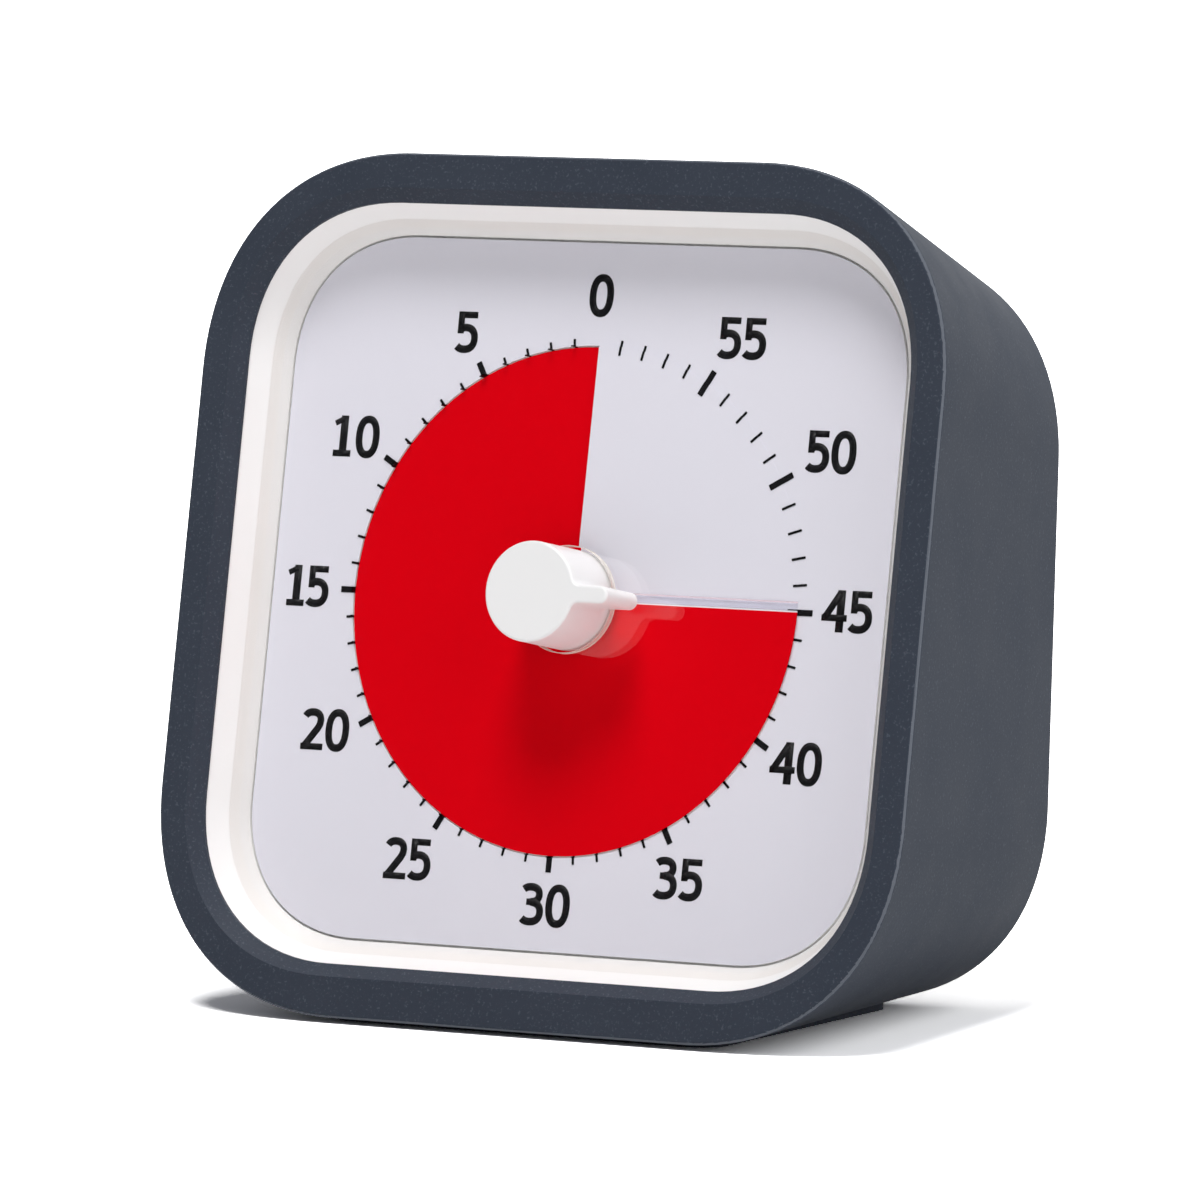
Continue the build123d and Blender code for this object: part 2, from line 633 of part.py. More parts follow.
def make_clutch_spring():
    """A dished washer of three legs that presses the centre wheel on to the shaft's flange."""
    low, high = CENTRE_TOP + RUNNING_FIT, CENTRE_TOP + RUNNING_FIT + SPRING_RISE
    bore = SHAFT_RADIUS + RUNNING_FIT
    profile = Polyline(
        (bore, high - SPRING_GAUGE),
        (SPRING_RADIUS, low),
        (SPRING_RADIUS, low + SPRING_GAUGE),
        (bore, high),
        close=True,
    )
    dish = revolve(Plane.XZ * make_face(profile), Axis.Z)
    legs = disc(2 * SHAFT_RADIUS, low - PAST, high + PAST)
    blade = Box(SPRING_RADIUS, SPRING_LEG_WIDTH, 2 * (SPRING_RISE + PAST))
    for leg in range(SPRING_LEGS):
        legs += Rot(0, 0, 360 / SPRING_LEGS * leg) * Pos(SPRING_RADIUS / 2, 0, low) * blade
    return dish & legs


# --- Chassis and screws ------------------------------------------------------------------------

def make_chassis():
    plate = prism(seat_outline(SEAT_GAP), CHASSIS_BACK, CHASSIS_TOP)
    room = disc(WELL_RADIUS + WELL_GAP, CHASSIS_TOP - CHASSIS_PAD, CHASSIS_TOP + PAST)
    plate = plate - room - disc(HUB_HOLE, CHASSIS_BACK - PAST, CHASSIS_TOP)
    for post in POSTS:
        plate += disc(POST_RADIUS, CASE_SPLIT, CHASSIS_BACK, post)
    for post in POSTS:
        plate -= disc(SCREW_RADIUS, CASE_SPLIT, CHASSIS_BACK - POST_ROOF, post)
    for ear in EARS:
        plate -= disc(SCREW_RADIUS, CHASSIS_BACK, CHASSIS_BACK + EAR_SCREW_BITE, ear)
    return plate


def screw(at, head_bottom, shank_top):
    """A pan-head screw driven in from behind, with a cross recess."""
    head_top = head_bottom + SCREW_HEAD_HEIGHT
    head = disc(SCREW_HEAD_RADIUS, head_bottom, head_top)
    head = fillet(head.faces().sort_by(Axis.Z)[0].edges(), SCREW_HEAD_HEIGHT / 2)
    shank = disc(SCREW_RADIUS - PUSH_FIT, head_top, shank_top)
    recess = Box(2 * SCREW_HEAD_RADIUS * SCREW_DRIVE, SCREW_DRIVE, SCREW_HEAD_HEIGHT)
    cross = recess + Rot(0, 0, 90) * recess
    return Pos(at[0], at[1], 0) * (head + shank - Pos(0, 0, head_bottom) * cross)


def make_movement_screws():
    head = CHASSIS_BACK - EAR_SIZE[2] - SCREW_HEAD_HEIGHT
    top = CHASSIS_BACK + EAR_SCREW_BITE
    return Compound(children=[screw(ear, head, top) for ear in EARS])


# --- Movement ------------------------------------------------------------------------------------

def gear(module, teeth, first_tooth, low, high, at):
    """A spur gear with straight-flanked teeth, one tooth centred on a given direction."""
    pitch_radius = module * teeth / 2
    root, tip = pitch_radius - TOOTH_DEDENDUM * module, tip_radius(module, teeth)
    flanks = ((root, -TOOTH_FOOT), (tip, -TOOTH_TIP), (tip, TOOTH_TIP), (root, TOOTH_FOOT))
    pitch = 360 / teeth
    points = []
    for tooth in range(teeth):
        middle = first_tooth + tooth * pitch
        for radius, offset in flanks:
            angle = middle + offset * pitch
            points.append((radius * cosine(angle), radius * sine(angle)))
    blank = extrude(make_face(Polyline(*points, close=True)), amount=high - low)
    return Pos(at[0], at[1], low) * blank


def arbor(at):
    """A gear's arbor, with a thin pivot at each end for the movement's plates."""
    rear, front = MOVEMENT_REAR_INSIDE, MOVEMENT_FRONT_INSIDE
    pin = disc(PIVOT_RADIUS, rear - PIVOT_LENGTH, front + PIVOT_LENGTH, at)
    return disc(ARBOR_RADIUS, rear + END_SHAKE, front - END_SHAKE, at) + pin


def make_centre_wheel():
    facing = THIRD_BEARING
    wheel = gear(CENTRE_MODULE, CENTRE_TEETH, facing + 180 / CENTRE_TEETH,
                 CENTRE_BOTTOM, CENTRE_TOP, CENTRE)
    hub = disc(CENTRE_HUB_RADIUS, CENTRE_BOTTOM - CENTRE_HUB_HEIGHT, CENTRE_BOTTOM)
    bore = disc(
        SHAFT_RADIUS + RUNNING_FIT, CENTRE_BOTTOM - CENTRE_HUB_HEIGHT - PAST, CENTRE_TOP + PAST
    )
    return wheel + hub - bore


def compound_gear(at, top, module, teeth, wheel_tooth, pinion_module, pinion_tooth, pinion_top):
    """A wheel with the pinion that drives the next wheel moulded on its front."""
    wheel = gear(module, teeth, wheel_tooth, top - WHEEL_THICKNESS, top, at)
    pinion = gear(pinion_module, PINION_TEETH, pinion_tooth, top, pinion_top, at)
    return wheel + pinion + arbor(at)


def make_third_wheel():
    return compound_gear(
        THIRD, THIRD_TOP, THIRD_MODULE, THIRD_TEETH, SECONDS_BEARING + 180 / THIRD_TEETH,
        CENTRE_MODULE, THIRD_BEARING + 180, CENTRE_TOP + WHEEL_GAP / 2,
    )


def make_seconds_wheel():
    return compound_gear(
        SECONDS, SECONDS_TOP, SECONDS_MODULE, SECONDS_TEETH,
        INTERMEDIATE_BEARING + 180 / SECONDS_TEETH,
        THIRD_MODULE, SECONDS_BEARING + 180, THIRD_TOP + WHEEL_GAP / 2,
    )


def make_intermediate_wheel():
    return compound_gear(
        INTERMEDIATE, INTERMEDIATE_TOP, INTERMEDIATE_MODULE, INTERMEDIATE_TEETH,
        ROTOR_BEARING + 180 / INTERMEDIATE_TEETH,
        SECONDS_MODULE, INTERMEDIATE_BEARING + 180, SECONDS_TOP + WHEEL_GAP / 2,
    )


def make_rotor():
    pinion = gear(INTERMEDIATE_MODULE, PINION_TEETH, ROTOR_BEARING + 180,
                  ROTOR_PINION_LOW, INTERMEDIATE_TOP + WHEEL_GAP / 2, ROTOR)
    magnet = disc(MAGNET_RADIUS, MAGNET_TOP - MAGNET_HEIGHT, MAGNET_TOP, ROTOR)
    magnet = fillet(magnet.edges().filter_by(GeomType.CIRCLE), EDGE_BREAK)
    return pinion + magnet + arbor(ROTOR)


def make_stator():
    """A flat U of iron whose bar has the rotor's hole and whose legs reach down to the coil."""
    low = STATOR_TOP - STATOR_THICKNESS
    top = ROTOR[1] + STATOR_BAR_HALF
    foot = COIL_UP - COIL_RADIUS / 2
    middle_x = (STATOR_LEFT + STATOR_RIGHT) / 2
    width = STATOR_RIGHT - STATOR_LEFT
    sheet = Pos(middle_x, (top + foot) / 2, low + STATOR_THICKNESS / 2) * Box(
        width, top - foot, STATOR_THICKNESS
    )
    mouth_top = ROTOR[1] - STATOR_BAR_HALF
    mouth = Pos(middle_x, (mouth_top + foot) / 2, low) * Box(
        width - 2 * STATOR_LEG, mouth_top - foot, 4 * STATOR_THICKNESS
    )
    sheet = sheet - mouth
    sheet = fillet(sheet.edges().filter_by(Axis.Z), STATOR_LEG / 4)
    hole = disc(MAGNET_RADIUS + STATOR_GAP, low - PAST, STATOR_TOP + PAST, ROTOR)
    return sheet - hole


def along_x(radius, left, right, up, height):
    """A round solid along x."""
    return Pos((left + right) / 2, up, height) * Rot(0, 90, 0) * Cylinder(radius, right - left)


def make_coil_core():
    length = STATOR_RIGHT - STATOR_LEFT
    return Pos((STATOR_LEFT + STATOR_RIGHT) / 2, COIL_UP, COIL_MIDDLE) * Box(
        length, COIL_CORE, COIL_CORE
    )


def make_coil_bobbin():
    spool = along_x(COIL_CORE, COIL_LEFT, COIL_RIGHT, COIL_UP, COIL_MIDDLE)
    for left in (COIL_LEFT, COIL_RIGHT - COIL_FLANGE):
        spool += along_x(COIL_RADIUS, left, left + COIL_FLANGE, COIL_UP, COIL_MIDDLE)
    side = COIL_CORE + 2 * PUSH_FIT
    return spool - Pos((COIL_LEFT + COIL_RIGHT) / 2, COIL_UP, COIL_MIDDLE) * Box(
        COIL_RIGHT - COIL_LEFT + PAST, side, side
    )


def make_coil():
    left, right = COIL_LEFT + COIL_FLANGE, COIL_RIGHT - COIL_FLANGE
    winding = along_x(COIL_RADIUS - COIL_GAP, left, right, COIL_UP, COIL_MIDDLE)
    return winding - along_x(COIL_CORE, left - PAST, right + PAST, COIL_UP, COIL_MIDDLE)


def movement_block(low, high, inset=0.0):
    width = MOVEMENT_RIGHT - MOVEMENT_LEFT - 2 * inset
    height = MOVEMENT_TOP - MOVEMENT_BOTTOM - 2 * inset
    middle = ((MOVEMENT_LEFT + MOVEMENT_RIGHT) / 2, (MOVEMENT_BOTTOM + MOVEMENT_TOP) / 2)
    outline = RectangleRounded(width, height, MOVEMENT_CORNER - inset)
    return extrude(Pos(middle[0], middle[1], low) * outline, amount=high - low)


def make_movement_case():
    """The movement's front tray, with the arbors' front bearings and two ears for screws."""
    tray = movement_block(MOVEMENT_REAR_INSIDE, CHASSIS_BACK)
    tray -= movement_block(MOVEMENT_REAR_INSIDE - PAST, MOVEMENT_FRONT_INSIDE, MOVEMENT_WALL)
    tray -= disc(SHAFT_RADIUS + RUNNING_FIT, MOVEMENT_FRONT_INSIDE - PAST, CHASSIS_BACK + PAST)
    for at in ARBORS:
        tray -= disc(PIVOT_RADIUS + RUNNING_FIT, MOVEMENT_FRONT_INSIDE - PAST,
                     MOVEMENT_FRONT_INSIDE + PIVOT_LENGTH + RUNNING_FIT, at)
    ear_low = CHASSIS_BACK - EAR_SIZE[2]
    for at in EARS:
        tray += Pos(at[0], at[1], CHASSIS_BACK - EAR_SIZE[2] / 2) * Box(*EAR_SIZE)
    for at in EARS:
        tray -= disc(SCREW_RADIUS, ear_low - PAST, CHASSIS_BACK + PAST, at)
    return tray


def make_movement_cover():
    """The movement's rear plate, with the arbors' rear bearings and pads under the stator."""
    plate = movement_block(MOVEMENT_BACK, MOVEMENT_REAR_INSIDE)
    low = MOVEMENT_REAR_INSIDE - PIVOT_LENGTH - RUNNING_FIT
    high = MOVEMENT_REAR_INSIDE + PAST
    for at in ARBORS:
        plate -= disc(PIVOT_RADIUS + RUNNING_FIT, low, high, at)
    plate -= disc(2 * PIVOT_RADIUS + RUNNING_FIT, low, high)
    stator_low = STATOR_TOP - STATOR_THICKNESS
    for x in (STATOR_LEFT + STATOR_LEG / 2, STATOR_RIGHT - STATOR_LEG / 2):
        plate += disc(STATOR_LEG / 3, MOVEMENT_REAR_INSIDE, stator_low, (x, 0))
    return plate


# --- Rear housing, battery bay and electronics ----------------------------------------------------

def back_box(width, height, low, high, x=0.0, y=0.0):
    """A box in the back's frame between two depths."""
    return in_back(x, y, (low + high) / 2, Box(width, height, high - low))


def back_disc(radius, low, high, x=0.0, y=0.0):
    """A round solid in the back's frame between two depths."""
    return in_back(x, y, (low + high) / 2, Cylinder(radius, high - low))


def make_rear_housing():
    outside = before_back(body_form(CASE_INSET), HOUSING_OUTSIDE)
    outside = between(outside, -FACE_HEIGHT, CASE_SPLIT)
    hollow = before_back(body_form(HOLLOW_INSET), HOUSING_INSIDE)
    shell = outside - between(hollow, -FACE_HEIGHT, CASE_SPLIT + PAST)
    outer = 2 * (BAY_HALF + BAY_WALL)
    length = 2 * (BAY_END + BAY_WALL)
    shell += back_box(length, outer, HOUSING_OUTSIDE, BAY_FLOOR + BAY_WALL, y=BATTERY_UP)
    shell -= back_box(2 * BAY_END, 2 * BAY_HALF, HOUSING_OUTSIDE - PAST, BAY_FLOOR, y=BATTERY_UP)
    for side in (-1, 1):
        shell -= back_box(
            CONTACT_GAUGE + 2 * CONTACT_SLOT_GAP,
            2 * (BAY_WALL + PAST),
            TAIL_MIDDLE - CONTACT_TAIL / 2 - CONTACT_SLOT_GAP / 2,
            TAIL_MIDDLE + CONTACT_TAIL / 2 + CONTACT_SLOT_GAP / 2,
            side * CONTACT_X,
            BATTERY_UP + BAY_HALF,
        )
        shell -= back_box(
            2 * (BAY_WALL + DOOR_GAP),
            DOOR_TAB[0] + PAST,
            HOUSING_INSIDE - DOOR_TAB_GAP,
            HOUSING_INSIDE + DOOR_TAB_GAP + DOOR_TAB[1] + DOOR_TAB[2],
            -BAY_END,
            BATTERY_UP + side * DOOR_TAB_SPREAD,
        )
    for post in POSTS:
        boss = disc(POST_RADIUS, -FACE_HEIGHT, CASE_SPLIT, post)
        shell += before_back(boss, HOUSING_OUTSIDE)
    for post in POSTS:
        head = screw_seat(post)
        shell -= disc(SCREW_RADIUS + SCREW_HOLE_GAP, head - PAST, CASE_SPLIT + PAST, post)
        shell -= disc(SCREW_HEAD_RADIUS + SCREW_HOLE_GAP, -FACE_HEIGHT, head, post)
    for x, y in BOARD_POSTS:
        shell += back_disc(BOARD_POST_RADIUS, HOUSING_INSIDE, BOARD_LOW, x, y)
        shell -= back_disc(SCREW_RADIUS, BOARD_LOW - BOARD_SCREW_BITE, BOARD_LOW + PAST, x, y)
    shell -= back_box(*SWITCH_TRACK, HOUSING_OUTSIDE - PAST, HOUSING_INSIDE + PAST, *SWITCH_AT)
    for x, y in sound_holes():
        shell -= back_disc(SOUND_HOLE_RADIUS, HOUSING_OUTSIDE - PAST, HOUSING_INSIDE + PAST, x, y)
    return shell


def screw_seat(post):
    """Height of the shoulder that a rear screw's head rests on, behind its post."""
    surface = before_back(disc(SCREW_RADIUS, -FACE_HEIGHT, CASE_SPLIT, post), HOUSING_OUTSIDE)
    return surface.bounding_box().min.Z + 2 * SCREW_HEAD_HEIGHT


def sound_holes():
    """A hexagon of holes over the buzzer."""
    places = [BUZZER_AT]
    for turn in range(6):
        places.append(polar(BUZZER_AT, SOUND_HOLE_PITCH, 60 * turn))
    for turn in range(12):
        places.append(polar(BUZZER_AT, 2 * SOUND_HOLE_PITCH, 30 * turn))
    return places


def make_case_screws():
    top = CASE_SPLIT + CASE_SCREW_BITE
    screws = [screw(post, screw_seat(post) - SCREW_HEAD_HEIGHT, top) for post in POSTS]
    return Compound(children=screws)


def make_battery_door():
    """A flat door that tips out about its rounded end, where two hooks hold it in."""
    half_length, height = BAY_END - DOOR_GAP, 2 * (BAY_HALF - DOOR_GAP)
    low, high = HOUSING_OUTSIDE, HOUSING_OUTSIDE + DOOR_THICKNESS
    nose = DOOR_THICKNESS / 2
    plate = extrude(RectangleRounded(2 * half_length, height, DOOR_CORNER), amount=DOOR_THICKNESS)
    door = in_back(0, BATTERY_UP, low, plate)
    door -= back_box(2 * nose, height, low, high, -half_length, BATTERY_UP)
    door += in_back(
        nose - half_length, BATTERY_UP, low + nose, Rot(90, 0, 0) * Cylinder(nose, height)
    )
    hook_low = HOUSING_INSIDE + DOOR_TAB_GAP
    hook_high = hook_low + DOOR_TAB[2]
    for side in (-1, 1):
        tab_y = BATTERY_UP + side * DOOR_TAB_SPREAD
        stem_x = DOOR_TAB_STEM / 2 - half_length
        hook_x = DOOR_TAB_STEM - DOOR_TAB[1] / 2 - half_length
        door += back_box(DOOR_TAB_STEM, DOOR_TAB[0], low + nose, hook_high, stem_x, tab_y)
        door += back_box(DOOR_TAB[1], DOOR_TAB[0], hook_low, hook_high, hook_x, tab_y)
    for groove in range(DOOR_GRIP_COUNT):
        x = BAY_END - DOOR_GRIP_FROM_END + DOOR_GRIP_PITCH * groove
        door -= back_box(DOOR_GRIP[0], DOOR_GRIP[1], low - PAST, low + DOOR_GRIP[2], x, BATTERY_UP)
    catch = back_box(DOOR_CATCH[0], DOOR_CATCH[1], high, high + DOOR_CATCH[2],
                     half_length - DOOR_CATCH[0] / 2, BATTERY_UP)
    return door + catch


def make_battery():
    can = Rot(0, 90, 0) * Cylinder(BATTERY_RADIUS, BATTERY_LENGTH)
    can = fillet(can.edges().filter_by(GeomType.CIRCLE), BATTERY_EDGE)
    nub = Pos((BATTERY_LENGTH + BATTERY_NUB[1]) / 2, 0, 0) * Rot(0, 90, 0) * Cylinder(
        BATTERY_NUB[0], BATTERY_NUB[1]
    )
    return in_back(BATTERY_FLAT_END + BATTERY_LENGTH / 2, BATTERY_UP, BATTERY_IN, can + nub)


def contact_strip(side):
    """A bent nickel strip: a pad at the bay's end and a tail up to the circuit board."""
    x = side * (CONTACT_X + CONTACT_GAUGE / 2)
    pad = back_box(CONTACT_GAUGE, CONTACT_PAD, BATTERY_IN - CONTACT_PAD / 2,
                   BATTERY_IN + CONTACT_PAD / 2, x, BATTERY_UP)
    tail_high = BOARD_BOTTOM + 2 * CONTACT_TAIL
    tail = back_box(CONTACT_GAUGE, tail_high - BATTERY_UP, TAIL_MIDDLE - CONTACT_TAIL / 2,
                    TAIL_MIDDLE + CONTACT_TAIL / 2, x, (BATTERY_UP + tail_high) / 2)
    return pad + tail


def make_positive_contact():
    """The positive strip, with the dimple that meets the battery's nub."""
    cone = Cone(BATTERY_NUB[0] * DIMPLE_TAPER, BATTERY_NUB[0], DIMPLE_HEIGHT)
    dimple = in_back(BATTERY_NUB_END + DIMPLE_HEIGHT / 2, BATTERY_UP, BATTERY_IN,
                     Rot(0, 90, 0) * cone)
    return contact_strip(1) + dimple


def make_negative_contact():
    """The negative strip, with its conical spring."""
    height = SPRING_ROOM - 2 * SPRING_WIRE
    taper = math.degrees(math.atan((SPRING_BASE_RADIUS - SPRING_TIP_RADIUS) / height))
    path = Edge.make_helix(height / SPRING_TURNS, height, SPRING_BASE_RADIUS, angle=-taper)
    ring = Plane(origin=path @ 0, z_dir=path % 0) * Circle(SPRING_WIRE)
    coil = sweep(ring, path=path)
    coil = in_back(SPRING_WIRE / 2 - CONTACT_X, BATTERY_UP, BATTERY_IN, Rot(0, 90, 0) * coil)
    return contact_strip(-1) + coil


def make_circuit_board():
    board = back_box(BOARD_WIDTH, BOARD_HEIGHT, BOARD_LOW, BOARD_HIGH, y=BOARD_MIDDLE)
    hole = SCREW_RADIUS + SCREW_HOLE_GAP
    for x, y in BOARD_POSTS:
        board -= back_disc(hole, BOARD_LOW - PAST, BOARD_HIGH + PAST, x, y)
    return board


def make_board_screws():
    length = SCREW_HEAD_HEIGHT + BOARD_THICKNESS + BOARD_SCREW_BITE
    turned = Rot(180, 0, 0) * screw((0, 0), 0, length)
    head_top = BOARD_HIGH + SCREW_HEAD_HEIGHT
    return Compound(children=[in_back(x, y, head_top, turned) for x, y in BOARD_POSTS])


def make_driver_chip():
    """The blob of resin over the timing chip, on the board's front."""
    dome = back_disc(CHIP_RADIUS, BOARD_HIGH, BOARD_HIGH + CHIP_HEIGHT, *SWITCH_AT)
    return fillet(dome.faces().sort_by(Axis.Z)[-1].edges(), CHIP_HEIGHT * CHIP_DOME)


def make_quartz_crystal():
    can = Rot(0, 90, 0) * Cylinder(CRYSTAL_RADIUS, CRYSTAL_LENGTH)
    can = fillet(can.edges().filter_by(GeomType.CIRCLE), EDGE_BREAK)
    return in_back(0, BOARD_BOTTOM + CRYSTAL_FROM_EDGE, BOARD_HIGH + CRYSTAL_RADIUS, can)


def make_buzzer():
    mouth = BOARD_LOW - BUZZER_HEIGHT
    body = back_disc(BUZZER_RADIUS, mouth, BOARD_LOW, *BUZZER_AT)
    return body - back_disc(BUZZER_MOUTH, mouth - PAST, mouth + BUZZER_MOUTH, *BUZZER_AT)


def make_switch_body():
    face = BOARD_LOW - SWITCH_BODY[2]
    body = back_box(SWITCH_BODY[0], SWITCH_BODY[1], face, BOARD_LOW, *SWITCH_AT)
    return body - back_box(*SWITCH_TRACK, face - PAST, BOARD_LOW - SWITCH_FLOOR, *SWITCH_AT)


def make_switch_slider():
    x, y = SWITCH_AT[0] - SWITCH_TRAVEL / 2, SWITCH_AT[1]
    low, high = HOUSING_OUTSIDE - SWITCH_PROUD, BOARD_LOW - SWITCH_FLOOR - SWITCH_GAP
    slider = back_box(SWITCH_KNOB[0], SWITCH_KNOB[1], low, high, x, y)
    width, pitch = SWITCH_RIDGE
    for groove in (-1, 0, 1):
        slider -= back_box(width, 2 * SWITCH_KNOB[1], low - PAST, low + width,
                           x + groove * pitch, y)
    return slider


# --- Standing the timer on the table, and writing the pieces ----------------------------------------

PIECES = {
    "silicone_cover": make_silicone_cover,
    "front_case": make_front_case,
    "lens": make_lens,
    "dial_plate": make_dial_plate,
    "timer_disk": make_timer_disk,
    "disk_edge_strip": make_disk_edge_strip,
    "disk_hub": make_disk_hub,
    "knob": make_knob,
    "knob_shaft": make_knob_shaft,
    "shaft_clip": make_shaft_clip,
    "clutch_spring": make_clutch_spring,
    "chassis": make_chassis,
    "movement_screws": make_movement_screws,
    "movement_case": make_movement_case,
    "movement_cover": make_movement_cover,
    "centre_wheel": make_centre_wheel,
    "third_wheel": make_third_wheel,
    "seconds_wheel": make_seconds_wheel,
    "intermediate_wheel": make_intermediate_wheel,
    "rotor": make_rotor,
    "stator": make_stator,
    "coil_core": make_coil_core,
    "coil_bobbin": make_coil_bobbin,
    "coil": make_coil,
    "rear_housing": make_rear_housing,
    "case_screws": make_case_screws,
    "battery_door": make_battery_door,
    "battery": make_battery,
    "positive_contact": make_positive_contact,
    "negative_contact": make_negative_contact,
    "circuit_board": make_circuit_board,
    "board_screws": make_board_screws,
    "driver_chip": make_driver_chip,
    "quartz_crystal": make_quartz_crystal,
    "buzzer": make_buzzer,
    "switch_body": make_switch_body,
    "switch_slider": make_switch_slider,
}


def standing_place():
    """The turn that leans the face back, and the move that puts the sole's middle at the origin."""
    upright = Rot(90 - LEAN, 0, 0)
    box = (upright * make_silicone_cover()).bounding_box()
    return Pos(0, -(box.min.Y + box.max.Y) / 2, -box.min.Z) * upright


STANDING = standing_place()


def build():
    return {name: STANDING * make() for name, make in PIECES.items()}


for name, piece in build().items():
    export_step(piece, f"parts/{name}.step")
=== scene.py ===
# %% [markdown]
# # A visual countdown timer
# The timer shows the minutes that are left as a red sector. Turning the white knob draws a red film
# disk out of a slit in the dial, and a clock movement then turns it back to zero. The pieces come
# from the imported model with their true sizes. This lesson gives each of them its finish, and prints
# the minute marks and the numerals on the dial.

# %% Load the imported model
import json
import math

import bpy
from mathutils import Matrix, Vector


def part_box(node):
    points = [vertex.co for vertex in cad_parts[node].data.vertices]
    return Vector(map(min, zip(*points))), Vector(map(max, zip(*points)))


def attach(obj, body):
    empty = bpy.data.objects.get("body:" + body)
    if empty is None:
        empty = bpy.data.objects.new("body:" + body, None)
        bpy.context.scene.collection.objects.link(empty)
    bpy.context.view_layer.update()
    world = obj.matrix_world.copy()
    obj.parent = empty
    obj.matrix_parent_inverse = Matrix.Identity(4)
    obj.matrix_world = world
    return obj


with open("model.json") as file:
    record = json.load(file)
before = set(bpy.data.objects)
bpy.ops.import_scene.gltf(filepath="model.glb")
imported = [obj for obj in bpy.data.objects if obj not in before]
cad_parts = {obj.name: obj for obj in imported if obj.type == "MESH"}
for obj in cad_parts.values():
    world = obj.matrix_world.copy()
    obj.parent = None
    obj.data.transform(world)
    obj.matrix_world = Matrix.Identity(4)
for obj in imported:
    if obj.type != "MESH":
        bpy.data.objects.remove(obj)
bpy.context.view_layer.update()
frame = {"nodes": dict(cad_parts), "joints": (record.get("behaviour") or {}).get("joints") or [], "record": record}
bpy.ops.object.select_all(action="DESELECT")
MM = 0.001
nodes = frame["nodes"]
joints = {joint["name"]: joint for joint in frame["joints"]}
print("pieces:", len(nodes), "joints:", len(joints))

# %% [markdown]
# ## Two places to work in
# The face leans back, so nothing on the dial is level with the world. The knob's joint says where
# the middle of the dial is and which way it looks, and from these comes a matrix that takes a point
# on an upright drawing of the dial, x to the right, y up and z out of the face, to its true place.
# Every piece on the dial is modelled on the drawing and then moved with that matrix.

# %% The dial's own frame
dial_centre = Vector(joints["knob_turn"]["pos_m"])
dial_out = Vector(joints["knob_turn"]["axis"])
dial_right = Vector((1, 0, 0))
dial_up = dial_out.cross(dial_right)
DIAL = Matrix.Translation(dial_centre) @ Matrix((dial_right, dial_up, dial_out)).transposed().to_4x4()
print("the dial leans back by", round(math.degrees(math.asin(dial_out.z)), 1), "degrees")


def put_on_dial(piece, name, body):
    """Moves a piece from the drawing to the dial, and lets it ride on the body that carries it."""
    piece.data.transform(DIAL)
    piece.name = name
    piece.data.name = name
    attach(piece, body)
    print(name, "has", len(piece.data.polygons), "faces")


# %% [markdown]
# ## Camera
# The timer is seen from a little right of its face and just above the table, from a metre away with
# a long lens, so that its edges stay nearly parallel. The camera looks at a point beside the middle
# of the dial.

# %% Camera
VIEW_AZIMUTH = math.radians(30.2)
VIEW_ELEVATION = math.radians(5.1)
VIEW_DISTANCE = 1048.4 * MM
LENS = 306.8
ASIDE = Vector((2.8, 0, 0.3)) * MM
aim = dial_centre + ASIDE
towards_camera = Vector((
    math.sin(VIEW_AZIMUTH) * math.cos(VIEW_ELEVATION),
    -math.cos(VIEW_AZIMUTH) * math.cos(VIEW_ELEVATION),
    math.sin(VIEW_ELEVATION),
))
bpy.ops.object.camera_add(location=aim + towards_camera * VIEW_DISTANCE)
camera = bpy.context.object
camera.name = "camera"
camera.rotation_euler = towards_camera.to_track_quat("Z", "Y").to_euler()
camera.data.lens = LENS
camera.data.clip_start = 0.05
camera.data.clip_end = 50
bpy.context.scene.camera = camera
bpy.context.scene.view_settings.view_transform = "Standard"
print("camera at", [round(value, 3) for value in camera.location])

# %% [markdown]
# ## Nodes and colours
# Colours are written as they are picked on a screen, as sRGB hex values, and a shader wants them
# linear, so one function turns them. Another adds a node, sets its options and fills its sockets.
# Some nodes have several sockets of one name and hide those that their options don't use, so the
# function takes the first one in use, or the one with a number.


# %% Helpers for nodes
def linear(hex_colour):
    """Turns an sRGB hex colour such as "d00211" into the linear colour that a shader reads."""
    channels = [int(hex_colour[at:at + 2], 16) / 255 for at in (0, 2, 4)]
    return tuple(c / 12.92 if c < 0.04045 else ((c + 0.055) / 1.055) ** 2.4 for c in channels) + (1,)


def add(tree, kind, sockets=None, **options):
    """Adds a shader node. A socket takes a value, a hex colour, a node or one output of a node."""
    node = tree.nodes.new("ShaderNode" + kind)
    for name, value in options.items():
        setattr(node, name, value)
    for name, value in (sockets or {}).items():
        in_use = [(at, one) for at, one in enumerate(node.inputs) if one.enabled]
        socket = next(one for at, one in in_use if name in (at, one.name))
        if isinstance(value, bpy.types.Node):
            value = next(output for output in value.outputs if output.enabled)
        if isinstance(value, bpy.types.NodeSocket):
            tree.links.new(value, socket)
        else:
            socket.default_value = linear(value) if isinstance(value, str) else value
    return node


def new_material(name):
    """An empty material, and its node tree."""
    made = bpy.data.materials.new(name)
    made.use_nodes = True
    made.node_tree.nodes.clear()
    return made, made.node_tree


# %% [markdown]
# Patterns are measured on the piece itself in millimetres, so a noise with a scale of 1 / 0.4 has
# grains of 0.4 mm on every piece. A noise runs from 0 to 1 but seldom leaves the middle of that, so
# the middle is what a Map Range node stretches to the values that a finish needs.


# %% Helpers for patterns
NOISE_RANGE = {"From Min": 0.3, "From Max": 0.7}


def millimetres(tree):
    """The place on the piece in millimetres, which is what the patterns are drawn on."""
    place = add(tree, "TexCoord").outputs["Object"]
    return add(tree, "VectorMath", {0: place, "Scale": 1 / MM}, operation="SCALE")


